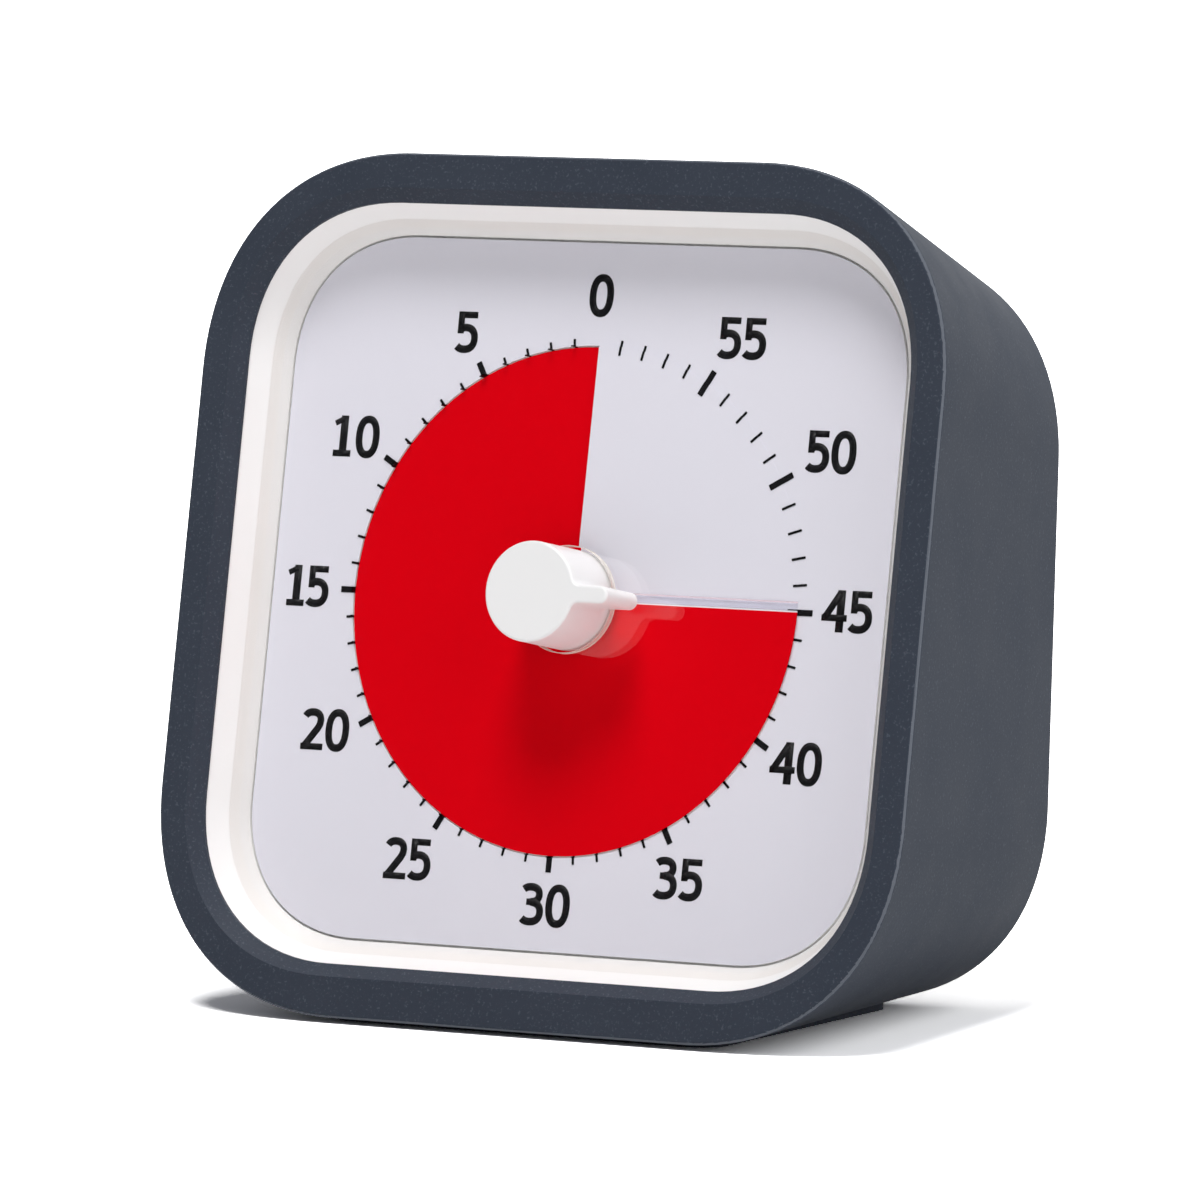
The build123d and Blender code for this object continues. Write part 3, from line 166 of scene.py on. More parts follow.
def in_front_of_dial(tree, place):
    """How far a place lies in front of the dial's face, in millimetres."""
    reach = add(tree, "VectorMath", {0: place, 1: dial_out}, operation="DOT_PRODUCT")
    return add(tree, "Math", {0: reach, 1: dial_centre.dot(dial_out) / MM}, operation="SUBTRACT")


finishes = {}


def finish_pieces(slot, material):
    """Gives a finish to every piece of the model that the record puts in that slot."""
    finishes[slot] = material
    members = [part["node"] for part in frame["record"]["subparts"] if part["material_slot"] == slot]
    for member in members:
        for place in nodes[member].material_slots:
            place.material = material
    print(material.name, "on", ", ".join(members))


# %% [markdown]
# ## Studio
# The timer stands on a light table, a plain pale floor that also glows. Two suns stand for large soft
# boxes: one high in front, which throws the knob's shadow down the dial and leaves the underside
# dark, and one at the right, which lights the side of the knob. A dim world fills in the rest. A
# camera, a mirror or a clear window sees that world as plain white.

# %% World
WORLD_LIGHT = 0.12
world = bpy.data.worlds.new("studio")
bpy.context.scene.world = world
world.use_nodes = True
tree = world.node_tree
tree.nodes.clear()
rays = add(tree, "LightPath").outputs
seen = add(tree, "Math", {0: rays["Is Camera Ray"], 1: rays["Is Glossy Ray"]}, operation="MAXIMUM")
seen = add(tree, "Math", {0: seen, 1: rays["Is Transmission Ray"]}, operation="MAXIMUM")
glow = add(tree, "Background", {"Color": "fbfbff", "Strength": WORLD_LIGHT})
white = add(tree, "Background", {"Color": "ffffff", "Strength": 1.0})
sky = add(tree, "MixShader", {0: seen, 1: glow, 2: white})
add(tree, "OutputWorld", {"Surface": sky})
print("world light", WORLD_LIGHT)


# %% Lamps
def soft_sun(name, azimuth, elevation, strength, spread):
    """A lamp far away, whose spread in degrees makes its shadows soft. Azimuth 0 is in front."""
    bpy.ops.object.light_add(type="SUN")
    lamp = bpy.context.object
    lamp.name = name
    turn = math.radians(azimuth)
    rise = math.radians(elevation)
    away = Vector((math.sin(turn) * math.cos(rise), -math.cos(turn) * math.cos(rise), math.sin(rise)))
    lamp.rotation_euler = away.to_track_quat("Z", "Y").to_euler()
    lamp.data.energy = strength
    lamp.data.angle = math.radians(spread)
    print(name, "strength", strength)


soft_sun("key_softbox", azimuth=12, elevation=69, strength=2.2, spread=21)
soft_sun("right_softbox", azimuth=80, elevation=30, strength=1.15, spread=60)

# %% [markdown]
# ## Floor
# The glow of the table lightens the sides of the bezel that look down. It fades out close to the
# timer, where it would light the dark gap under the sleeve. The camera and the window's mirror images
# don't see the glow, so the shadow on the floor stays, but the camera sees the floor brighter than
# the floor is for the lamps, so that it comes out white round the timer and its shadow is pale.

# %% Floor
FLOOR_SIZE = 30.0
FLOOR_SHADE = 0.9
FLOOR_SEEN = 2.8
FLOOR_GLOW = 0.4
GLOW_START = 45.0
GLOW_FULL = 90.0
bpy.ops.mesh.primitive_plane_add(size=FLOOR_SIZE)
floor = bpy.context.object
floor.name = "floor"
floor_paint, tree = new_material("studio_floor")
rays = add(tree, "LightPath").outputs
shade = add(tree, "MapRange", {
    "Value": rays["Is Camera Ray"], "To Min": FLOOR_SHADE, "To Max": FLOOR_SEEN,
})
paint = add(tree, "BsdfDiffuse", {"Color": shade})
reach = add(tree, "VectorMath", {0: millimetres(tree)}, operation="LENGTH")
strength = add(tree, "MapRange", {
    "Value": reach, "From Min": GLOW_START, "From Max": GLOW_FULL, "To Max": FLOOR_GLOW,
})
seen = add(tree, "Math", {0: rays["Is Camera Ray"], 1: rays["Is Glossy Ray"]}, operation="MAXIMUM")
hidden = add(tree, "MapRange", {"Value": seen, "To Min": 1.0, "To Max": 0.0})
strength = add(tree, "Math", {0: strength, 1: hidden}, operation="MULTIPLY")
glow = add(tree, "Emission", {"Strength": strength})
add(tree, "OutputMaterial", {"Surface": add(tree, "AddShader", {0: paint, 1: glow})})
floor.data.materials.append(floor_paint)
print("floor", FLOOR_SIZE, "m wide")

# %% [markdown]
# A dark screen stands round the front of the table, a cylinder's wall with its back half cut away.
# Only mirrors and windows see it, and it keeps the window over the dial clear of glare.

# %% Dark screen
SCREEN_REACH = 4.0
SCREEN_HEIGHT = 3.6
SCREEN_FOOT = 0.1
SCREEN_END = 0.8
bpy.ops.mesh.primitive_cylinder_add(
    vertices=96,
    radius=SCREEN_REACH,
    depth=SCREEN_HEIGHT,
    end_fill_type="NOTHING",
    location=(0, 0, SCREEN_FOOT + SCREEN_HEIGHT / 2),
)
screen = bpy.context.object
screen.name = "dark_screen"
bpy.ops.object.mode_set(mode="EDIT")
bpy.ops.mesh.select_all(action="SELECT")
bpy.ops.mesh.bisect(plane_co=(0, -SCREEN_END, 0), plane_no=(0, 1, 0), clear_outer=True)
bpy.ops.object.mode_set(mode="OBJECT")
screen_cloth, tree = new_material("dark_screen_cloth")
add(tree, "OutputMaterial", {"Surface": add(tree, "BsdfDiffuse", {"Color": "050505"})})
screen.data.materials.append(screen_cloth)
screen.visible_camera = False
screen.visible_diffuse = False
screen.visible_shadow = False
print("screen has", len(screen.data.polygons), "faces")

# %% [markdown]
# ## Silicone cover
# The dark sleeve round the case is moulded silicone rubber. Its mould was blasted, so the skin is
# matte with a grain of about 0.25 mm, and the rubber holds a little pale dust, which lifts the slate
# colour unevenly.

# %% Silicone colour
RUBBER_CLOUDS = 9.0
DUST = 0.27
silicone, tree = new_material("moulded_silicone")
place = millimetres(tree)
clouds = add(tree, "TexNoise", {"Vector": place, "Scale": 1 / RUBBER_CLOUDS, "Detail": 4.0})
dust = add(tree, "TexNoise", {"Vector": place, "Scale": 1 / DUST})
specks = add(tree, "MapRange", {"Value": dust, "From Min": 0.58, "From Max": 0.72, "To Max": 0.3})
rubber = add(tree, "Mix", {"Factor": clouds, "A": "313742", "B": "373d48"}, data_type="RGBA")
dusty = add(tree, "Mix", {"Factor": specks, "A": rubber, "B": "646b76"}, data_type="RGBA")
print("rubber clouds", RUBBER_CLOUDS, "mm, dust", DUST, "mm")

# %% [markdown]
# The rounded front edge is painted paler, as a painted highlight along the edge. It is the part in front of the
# dial whose surface slants, neither facing the viewer nor turned fully aside, and looks away from the middle.

# %% Painted highlight on the front edge
SLANT = 0.55
SLANT_SPREAD = 0.35
EDGE_REACH = 25.0
EDGE_FRONT = 4.0
EDGE_HIGHLIGHT = 0.35
sideways = add(tree, "VectorMath", {0: place, 1: dial_centre / MM}, operation="SUBTRACT")
turned = add(tree, "NewGeometry").outputs["True Normal"]
outward = add(tree, "VectorMath", {0: sideways, 1: turned}, operation="DOT_PRODUCT")
facing = add(tree, "VectorMath", {0: turned, 1: dial_out}, operation="DOT_PRODUCT")
slanted = add(tree, "Math", {0: facing, 1: SLANT, 2: SLANT_SPREAD}, operation="COMPARE")
outside = add(tree, "Math", {0: outward, 1: EDGE_REACH}, operation="GREATER_THAN")
in_front = in_front_of_dial(tree, place)
in_front = add(tree, "Math", {0: in_front, 1: EDGE_FRONT}, operation="GREATER_THAN")
edge = add(tree, "Math", {0: slanted, 1: outside}, operation="MULTIPLY")
edge = add(tree, "Math", {0: edge, 1: in_front}, operation="MULTIPLY")
# Here the colour is lightened towards a pale grey, as a painted highlight.
painted_highlight = add(tree, "Math", {0: edge, 1: EDGE_HIGHLIGHT}, operation="MULTIPLY")
highlit_colour = add(tree, "Mix", {"Factor": painted_highlight, "A": dusty, "B": "8b9099"}, data_type="RGBA")
print("rubbed edge from", EDGE_FRONT, "mm in front of the dial")

# %% [markdown]
# Silicone has an IOR near 1.41. A little sheen gives the velvety light that a dusty matte skin shows
# at a glancing angle.

# %% Silicone skin
BLASTED_GRAIN = 0.25
BLASTED_DEPTH = 0.012
blasted = add(tree, "TexNoise", {"Vector": place, "Scale": 1 / BLASTED_GRAIN})
matte = add(tree, "MapRange", {**NOISE_RANGE, "Value": clouds, "To Min": 0.52, "To Max": 0.62})
skin = add(tree, "BsdfPrincipled", {
    "Base Color": highlit_colour,
    "Roughness": matte,
    "IOR": 1.41,
    "Specular IOR Level": 0.2,
    "Sheen Weight": 0.03,
    "Sheen Roughness": 0.45,
    "Sheen Tint": "c9ced8",
    "Normal": add(tree, "Bump", {"Height": blasted, "Distance": BLASTED_DEPTH * MM}),
})
add(tree, "OutputMaterial", {"Surface": skin})
finish_pieces("silicone", silicone)

# %% [markdown]
# ## Narrow gaps
# The white plastics let a little light through, so the narrow gaps round the dial and round the film
# are pale on the real timer, not black. A solid shader has no such light, so the walls of those gaps
# are pure white instead: all that lies just under the face, and farther out than the film.


# %% Pale walls of the gaps
GAP_DEPTH = 0.63
GAP_SPREAD = 0.6
GAP_REACH = 26.2


def pale_gaps(tree, place, colour):
    """Turns a colour white in the gaps just under the face of the dial."""
    depth = in_front_of_dial(tree, place)
    inside = add(tree, "Math", {0: depth, 1: -GAP_DEPTH, 2: GAP_SPREAD}, operation="COMPARE")
    reach = add(tree, "VectorMath", {0: place, 1: dial_centre / MM}, operation="DISTANCE")
    outside = add(tree, "Math", {0: reach, 1: GAP_REACH}, operation="GREATER_THAN")
    gap = add(tree, "Math", {0: inside, 1: outside}, operation="MULTIPLY")
    return add(tree, "Mix", {"Factor": gap, "A": colour, "B": "ffffff"}, data_type="RGBA")


# %% [markdown]
# ## White mouldings
# The case and the knob are ABS, injection moulded in white. The case mould has a fine satin texture
# and the knob is a little smoother. ABS has an IOR of 1.53. White plastic is never one even white:
# it flows and cools unevenly, which shows as faint warm clouds of about 15 mm, and the texture
# breaks the highlight up.


# %% Moulded plastic
MELT_CLOUDS = 15.0
ROUGHNESS_SPREAD = 0.03


def moulded_plastic(name, colour, cloud_colour, roughness, texture_size, texture_depth, gaps=False):
    """Plastic with the texture that its mould gave it. Sizes are in millimetres."""
    made, tree = new_material(name)
    place = millimetres(tree)
    clouds = add(tree, "TexNoise", {"Vector": place, "Scale": 1 / MELT_CLOUDS, "Detail": 3.0})
    tint = add(tree, "Mix", {"Factor": clouds, "A": colour, "B": cloud_colour}, data_type="RGBA")
    texture = add(tree, "TexNoise", {"Vector": place, "Scale": 1 / texture_size})
    shine = add(tree, "MapRange", {
        **NOISE_RANGE,
        "Value": clouds,
        "To Min": roughness - ROUGHNESS_SPREAD,
        "To Max": roughness + ROUGHNESS_SPREAD,
    })
    plastic = add(tree, "BsdfPrincipled", {
        "Base Color": pale_gaps(tree, place, tint) if gaps else tint,
        "Roughness": shine,
        "IOR": 1.53,
        "Normal": add(tree, "Bump", {"Height": texture, "Distance": texture_depth * MM}),
    })
    add(tree, "OutputMaterial", {"Surface": plastic})
    return made


case_abs = moulded_plastic(
    "satin_case_abs", "f2f1f0", "efeeed",
    roughness=0.42, texture_size=0.3, texture_depth=0.002, gaps=True,
)
knob_abs = moulded_plastic(
    "smooth_knob_abs", "eeeded", "eaeaea", roughness=0.35, texture_size=0.5, texture_depth=0.003
)
finish_pieces("case_white", case_abs)
finish_pieces("knob_white", knob_abs)

# %% [markdown]
# ## Window
# The window is moulded clear acrylic, polished, with an IOR of 1.49. It bends what the eye sees
# behind it by a hair and mirrors the knob twice, once on each of its faces. Light that comes from a
# lamp or from the dial passes straight through, by way of a transparent shader that only those rays
# see, because a refracting sheet would otherwise throw the dial into shadow. Its outer edge is
# cemented to the white bezel, so there the acrylic bends nothing and the bezel shows through. The
# edge of the hole for the knob is as the cutter left it, a satin surface that catches the light.

# %% The two edges of the window
FLAT_FACING = 0.95
HOLE_REACH = 15.0
lens_acrylic, tree = new_material("polished_clear_acrylic")
place = millimetres(tree)
turned = add(tree, "NewGeometry").outputs["True Normal"]
facing = add(tree, "VectorMath", {0: turned, 1: dial_out}, operation="DOT_PRODUCT")
edge = add(tree, "Math", {0: facing, 1: 0.0, 2: FLAT_FACING}, operation="COMPARE")
reach = add(tree, "VectorMath", {0: place, 1: dial_centre / MM}, operation="DISTANCE")
far_out = add(tree, "Math", {0: reach, 1: HOLE_REACH}, operation="GREATER_THAN")
outer_edge = add(tree, "Math", {0: edge, 1: far_out}, operation="MULTIPLY")
hole_edge = add(tree, "Math", {0: edge, 1: outer_edge}, operation="SUBTRACT")
print("the hole's edge lies within", HOLE_REACH, "mm of the middle")

# %% Clear acrylic
POLISH_CLOUDS = 12.0
rays = add(tree, "LightPath").outputs
lamp_light = add(tree, "Math", {
    0: rays["Is Shadow Ray"], 1: rays["Is Diffuse Ray"],
}, operation="MAXIMUM")
straight = add(tree, "Math", {0: lamp_light, 1: outer_edge}, operation="MAXIMUM")
air = add(tree, "BsdfTransparent", {"Color": "fcfbfa"})
haze = add(tree, "TexNoise", {"Vector": place, "Scale": 1 / POLISH_CLOUDS})
polished = add(tree, "BsdfPrincipled", {
    "Base Color": "ffffff",
    "Roughness": add(tree, "MapRange", {**NOISE_RANGE, "Value": haze, "To Max": 0.006}),
    "IOR": 1.49,
    "Transmission Weight": 1.0,
})
satin = add(tree, "BsdfPrincipled", {"Base Color": "e9e2d8", "Roughness": 0.5, "Alpha": 0.7})
clear = add(tree, "MixShader", {0: straight, 1: polished, 2: air})
window = add(tree, "MixShader", {0: hole_edge, 1: clear, 2: satin})
add(tree, "OutputMaterial", {"Surface": window})
finish_pieces("lens_clear", lens_acrylic)

# %% [markdown]
# The film ends in a strip without colour, as wide as the piece is deep. It is so thin that it bends
# nothing. Its cut edge glows a faint pink, because the sheet carries light along from the red part,
# and next to the red it shows a white line, where the film doubles over the dial.

# %% Clear edge of the film
STRIP = 1.1
CUT_EDGE = 0.22
CUT_EDGE_SHARP = 0.14
LINE_START = 0.1
LINE_END = 0.22
film_edge, tree = new_material("clear_polyester_film")
across = add(tree, "VectorMath", {0: millimetres(tree), 1: dial_up}, operation="DOT_PRODUCT")
across = add(tree, "Math", {0: across, 1: dial_centre.dot(dial_up) / MM}, operation="SUBTRACT")
# A painted pink glow runs along the cut edge, and a painted white highlight line lies next to the red.
pink_glow_band = add(tree, "MapRange", {
    "Value": across, "From Min": STRIP - CUT_EDGE, "From Max": STRIP - CUT_EDGE_SHARP,
})
painted_highlight_line = add(tree, "MapRange", {
    "Value": across, "From Min": LINE_START, "From Max": LINE_END, "To Min": 0.8, "To Max": 0.0,
})
pink = add(tree, "Mix", {"Factor": pink_glow_band, "A": "e2e2ee", "B": "f4dfe6"}, data_type="RGBA")
tint = add(tree, "Mix", {"Factor": painted_highlight_line, "A": pink, "B": "fbfbff"}, data_type="RGBA")
film = add(tree, "BsdfPrincipled", {"Base Color": tint, "Roughness": 0.3, "Specular IOR Level": 0.2})
glass = add(tree, "BsdfTransparent", {"Color": "fdfdff"})
solid = add(tree, "MapRange", {"Value": pink_glow_band, "To Min": 0.04, "To Max": 0.45})
solid = add(tree, "Math", {0: solid, 1: painted_highlight_line}, operation="MAXIMUM")
add(tree, "OutputMaterial", {"Surface": add(tree, "MixShader", {0: solid, 1: glass, 2: film})})
finish_pieces("film_clear", film_edge)

# %% [markdown]
# ## Dial, film and ink
# The dial is a white printed styrene plate. Printing leaves it matte, with a faint cool tint, and
# its fibre-fine tooth is about 0.2 mm. The disk is polyester film, coloured through and rolled
# smooth, so its red is even and it has a soft shine. The marks are screen-printed ink, a black that
# is a little glossy where it lies thick.


# %% Printed dial, red film and ink
SHEET_CLOUDS = 20.0
TOOTH_SPREAD = 0.05


def sheet_finish(name, colour, second_colour, roughness, tooth_size, tooth_depth, shine, gaps=False):
    """A flat printed or coloured sheet, which varies a little over its area."""
    made, tree = new_material(name)
    place = millimetres(tree)
    clouds = add(tree, "TexNoise", {"Vector": place, "Scale": 1 / SHEET_CLOUDS, "Detail": 3.0})
    tooth = add(tree, "TexNoise", {"Vector": place, "Scale": 1 / tooth_size, "Detail": 3.0})
    tint = add(tree, "Mix", {"Factor": clouds, "A": colour, "B": second_colour}, data_type="RGBA")
    matte = add(tree, "MapRange", {
        **NOISE_RANGE,
        "Value": tooth,
        "To Min": roughness - TOOTH_SPREAD,
        "To Max": roughness + TOOTH_SPREAD,
    })
    sheet = add(tree, "BsdfPrincipled", {
        "Base Color": pale_gaps(tree, place, tint) if gaps else tint,
        "Roughness": matte,
        "Specular IOR Level": shine,
        "Normal": add(tree, "Bump", {"Height": tooth, "Distance": tooth_depth * MM}),
    })
    add(tree, "OutputMaterial", {"Surface": sheet})
    return made


dial_styrene = sheet_finish(
    "printed_styrene_dial", "ebebf6", "e8e8f4",
    roughness=0.6, tooth_size=0.2, tooth_depth=0.0015, shine=0.5, gaps=True,
)
red_film = sheet_finish(
    "red_polyester_film", "e40012", "e00012",
    roughness=0.4, tooth_size=1.5, tooth_depth=0.002, shine=0.03,
)
ink = sheet_finish(
    "black_screen_ink", "151517", "19191c",
    roughness=0.45, tooth_size=0.15, tooth_depth=0.003, shine=0.1,
)
finish_pieces("dial_print", dial_styrene)
finish_pieces("film_red", red_film)

# %% [markdown]
# ## Minute marks
# The dial has sixty minutes, counted the other way round from a clock, because the sector shrinks as
# time runs. A fine dash stands at each minute and a broad one at each fifth, but none at zero, where
# the slit is. The inner part of the dial lies a little deeper, under the film, and rises like one
# turn of a screw from the slit round to the slit again. A dash that crosses the wall of that well is
# made of three parts, one on each level and one that runs down the wall between them. Each part is
# modelled once and copied round, and the part on the wall is drawn out to the depth of the well.

# %% Sizes of the print
INK = 0.02
INK_CORNER = 0.05
WALL_START = 26.36
WALL_END = 26.48
RAMP_RADIUS = 26.6
RAMP_LOW = -0.38
RAMP_RISE = 0.5
MINUTES = 60
BROAD_STEP = 5
FINE_DASH = {"inner": 25.6, "outer": 27.2, "width": 0.26}
BROAD_DASH = {"inner": 25.1, "outer": 28.0, "width": 0.64}


def ramp_height(turn):
    """How deep the well's floor lies, a part of a full turn counter-clockwise from the slit."""
    return RAMP_LOW + RAMP_RISE * turn


def dash(start, end, width):
    """A bar of ink that lies along y on the drawing, with its corners rounded as ink draws them."""
    bpy.ops.object.select_all(action="DESELECT")
    middle = (start + end) / 2 * MM
    bpy.ops.mesh.primitive_cube_add(size=1, location=(0, middle, INK / 2 * MM))
    made = bpy.context.object
    made.scale = (width * MM, (end - start) * MM, INK * MM)
    bpy.ops.object.transform_apply(location=True, rotation=True, scale=True)
    bpy.ops.object.mode_set(mode="EDIT")
    bpy.ops.mesh.select_all(action="DESELECT")
    bpy.ops.object.mode_set(mode="OBJECT")
    for edge in made.data.edges:
        first, second = (made.data.vertices[index].co for index in edge.vertices)
        edge.select = abs(first.z - second.z) > INK / 2 * MM
    bpy.ops.object.mode_set(mode="EDIT")
    bpy.ops.mesh.bevel(offset=INK_CORNER * MM, segments=2)
    bpy.ops.object.mode_set(mode="OBJECT")
    return made


def ring_of_marks(name, sizes, minutes):
    """Copies a dash to each of the minutes, on both levels of the dial, and joins the copies."""
    outer = dash(WALL_START, sizes["outer"], sizes["width"])
    inner = dash(sizes["inner"], RAMP_RADIUS, sizes["width"])
    wall = dash(WALL_START, WALL_END, sizes["width"])
    copies = []
    for minute in minutes:
        turn = minute / MINUTES
        height = ramp_height(turn)
        parts = [(outer, 0.0, 1.0), (inner, height, 1.0)]
        if height < 0:
            parts.append((wall, height, (INK - height) / INK))
        for pattern, low, stretch in parts:
            copy = pattern.copy()
            copy.data = pattern.data.copy()
            copy.data.transform(Matrix.Diagonal((1, 1, stretch, 1)))
            copy.data.transform(Matrix.Rotation(turn * math.tau, 4, "Z"))
            copy.data.transform(Matrix.Translation((0, 0, low * MM)))
            bpy.context.collection.objects.link(copy)
            copies.append(copy)
    for pattern in (outer, inner, wall):
        bpy.data.objects.remove(pattern)
    bpy.ops.object.select_all(action="DESELECT")
    for copy in copies:
        copy.select_set(True)
    bpy.context.view_layer.objects.active = copies[0]
    bpy.ops.object.join()
    marks = bpy.context.object
    marks.data.materials.clear()
    marks.data.materials.append(ink)
    put_on_dial(marks, name, "case")


# %% Print the minute marks
five_minutes = range(BROAD_STEP, MINUTES, BROAD_STEP)
single_minutes = [minute for minute in range(1, MINUTES) if minute % BROAD_STEP]
ring_of_marks("minute_marks", FINE_DASH, single_minutes)
ring_of_marks("five_minute_marks", BROAD_DASH, five_minutes)

# %% [markdown]
# ## Numerals
# The numerals stand upright beside the broad marks. Each figure is drawn as a few strokes of even
# width: straight ones, and bows that follow an oval a little fuller than an ellipse. A stroke is a
# curve, raised to a thin wall as tall as the ink is thick, and then thickened to its width. The
# table gives the width of each figure and its strokes, each as a stroke width and its points. All
# sizes are in millimetres, and y is counted from the line that the figures stand on.

# %% Strokes of the figures
STEM = 0.9
BAR = 0.68
BOW = 0.8
SLOPE = 0.74
FLAG = 0.58
FIGURE_HEIGHT = 4.3
FULLNESS = 0.86


def fuller(value):
    """Pushes a sine or cosine outwards, so that an oval becomes squarer."""
    return math.copysign(abs(value) ** FULLNESS, value)


def bow(x, y, across, up, start, end, steps=20):
    """Points along part of an oval about a middle, from one direction in degrees to another."""
    turns = [math.radians(start + (end - start) * step / steps) for step in range(steps + 1)]
    return [(x + across * fuller(math.cos(turn)), y + up * fuller(math.sin(turn))) for turn in turns]


MIDDLE = FIGURE_HEIGHT / 2
FOOT = BAR / 2
HEAD = FIGURE_HEIGHT - BAR / 2
FIGURES = {
    "0": (2.86, [(BOW, bow(1.43, MIDDLE, 1.03, 1.84, 0, 360, steps=40))]),
    "1": (2.14, [
        (STEM, [(1.15, 0), (1.15, FIGURE_HEIGHT)]),
        (BAR, [(0, FOOT), (2.14, FOOT)]),
        (FLAG, [(0.04, 3.46), (1.1, 3.98)]),
    ]),
    "2": (2.7, [
        (BOW, bow(1.25, 3.06, 0.97, 0.87, 155, 0) + [(2.16, 2.68), (1.92, 2.25), (0.5, 0.42)]),
        (BAR, [(0, FOOT), (2.7, FOOT)]),
    ]),
    "3": (2.8, [
        (BOW, bow(1.15, 3.19, 1.0, 0.77, 145, -90)),
        (BOW, bow(1.2, 1.39, 1.17, 1.01, 90, -140)),
        (BAR, [(0.68, 2.41), (1.25, 2.41)]),
    ]),
    "4": (2.92, [
        (STEM, [(2.13, 0), (2.13, FIGURE_HEIGHT)]),
        (BAR, [(0, 1.46), (2.92, 1.46)]),
        (SLOPE, [(0.36, 1.42), (1.98, 3.95)]),
    ]),
    "5": (2.73, [
        (BAR, [(0.22, HEAD), (2.5, HEAD)]),
        (SLOPE, [(0.58, 2.0), (0.58, FIGURE_HEIGHT)]),
        (BOW, [(0.55, 2.34)] + bow(1.15, 1.5, 1.16, 1.14, 100, -138)),
    ]),
}
FIGURE_GAP = 0.2
WIDE_GAP = {"10": 0.5}
print("figures:", len(FIGURES))

# %% [markdown]
# A numeral's middle lies on a ring outside the marks, at the angle of its minute. The ring alone would bring the
# wide ones too close to their marks, so each is then shifted by its own listed amount, as a typesetter does. Its
# strokes cross, so each stroke is a hair taller than the one before, and no two tops lie in one plane.


# %% Print the numerals
NUMERAL_RADIUS = 31.9
STROKE_STEP = 0.001
QUARTER_TURN = 0.25
NUMERAL_SHIFT = {
    0: (-0.13, -0.26), 5: (0.16, -0.28), 10: (-0.29, 0.05), 15: (-0.16, 0.16), 20: (-0.67, 1.21),
    25: (-0.9, 0.06), 30: (0.0, 0.52), 35: (-0.62, -0.17), 40: (0.06, 0.62), 45: (0.08, 0.36),
    50: (0.8, 0.54), 55: (0.95, 0.11),
}


def stroke(points, width, left, low, rise):
    """A stroke of ink through the points, as tall as rise, moved right by left and up by low."""
    bpy.ops.object.select_all(action="DESELECT")
    bpy.ops.curve.primitive_bezier_curve_add()
    made = bpy.context.object
    made.data.splines.clear()
    line = made.data.splines.new("POLY")
    closed = math.dist(points[0], points[-1]) < BOW / 10
    if closed:
        points = points[:-1]
    line.points.add(len(points) - 1)
    for point, (x, y) in zip(line.points, points):
        point.co = ((x + left) * MM, (y + low) * MM, 0, 1)
    line.use_cyclic_u = closed
    made.data.dimensions = "2D"
    made.data.fill_mode = "NONE"
    made.data.extrude = rise / 2 * MM
    bpy.ops.object.convert(target="MESH")
    bpy.ops.object.modifier_add(type="SOLIDIFY")
    thicken = made.modifiers[-1]
    thicken.thickness = width * MM
    thicken.offset = 0
    thicken.use_even_offset = True
    bpy.ops.object.modifier_apply(modifier=thicken.name)
    made.data.transform(Matrix.Translation((0, 0, rise / 2 * MM)))
    return made


def numeral(minute):
    """One numeral on the drawing of the dial."""
    text = str(minute)
    gaps = WIDE_GAP.get(text, FIGURE_GAP) * (len(text) - 1)
    shift = NUMERAL_SHIFT[minute]
    angle = math.tau * (minute / MINUTES + QUARTER_TURN)
    left = NUMERAL_RADIUS * math.cos(angle) + shift[0]
    left -= (sum(FIGURES[figure][0] for figure in text) + gaps) / 2
    low = NUMERAL_RADIUS * math.sin(angle) + shift[1] - MIDDLE
    strokes = []
    for figure in text:
        advance, lines = FIGURES[figure]
        for width, points in lines:
            strokes.append(stroke(points, width, left, low, INK + STROKE_STEP * len(strokes)))
        left += advance + gaps
    bpy.ops.object.select_all(action="DESELECT")
    for piece in strokes:
        piece.select_set(True)
    bpy.context.view_layer.objects.active = strokes[0]
    bpy.ops.object.join()
    return bpy.context.object


for minute in range(0, MINUTES, BROAD_STEP):
    figure = numeral(minute)
    figure.data.materials.clear()
    figure.data.materials.append(ink)
    put_on_dial(figure, f"numeral_{minute}", "case")

# %% [markdown]
# ## Metal and movement
# Inside, the finishes are those of an inexpensive clock movement and its circuit. They come in
# families, so one function makes the metals, which differ in colour, roughness and the direction of
# their fine marks, and the function for the case makes the other moulded plastics.


# %% Metals
METAL_SPREAD = 0.07


def worked_metal(name, colour, second_colour, roughness, mark_size, mark_depth, stretch=(1, 1, 1)):
    """A metal with fine marks, drawn out along the axes where stretch is small."""
    made, tree = new_material(name)
    drawn = add(tree, "Mapping", {"Vector": millimetres(tree), "Scale": stretch})
    marks = add(tree, "TexNoise", {"Vector": drawn, "Scale": 1 / mark_size, "Detail": 3.0})
    shine = add(tree, "MapRange", {
        **NOISE_RANGE,
        "Value": marks,
        "To Min": roughness - METAL_SPREAD,
        "To Max": roughness + METAL_SPREAD,
    })
    metal = add(tree, "BsdfPrincipled", {
        "Base Color": add(tree, "Mix", {
            "Factor": marks, "A": colour, "B": second_colour,
        }, data_type="RGBA"),
        "Metallic": 1.0,
        "Roughness": shine,
        "Normal": add(tree, "Bump", {"Height": marks, "Distance": mark_depth * MM}),
    })
    add(tree, "OutputMaterial", {"Surface": metal})
    return made


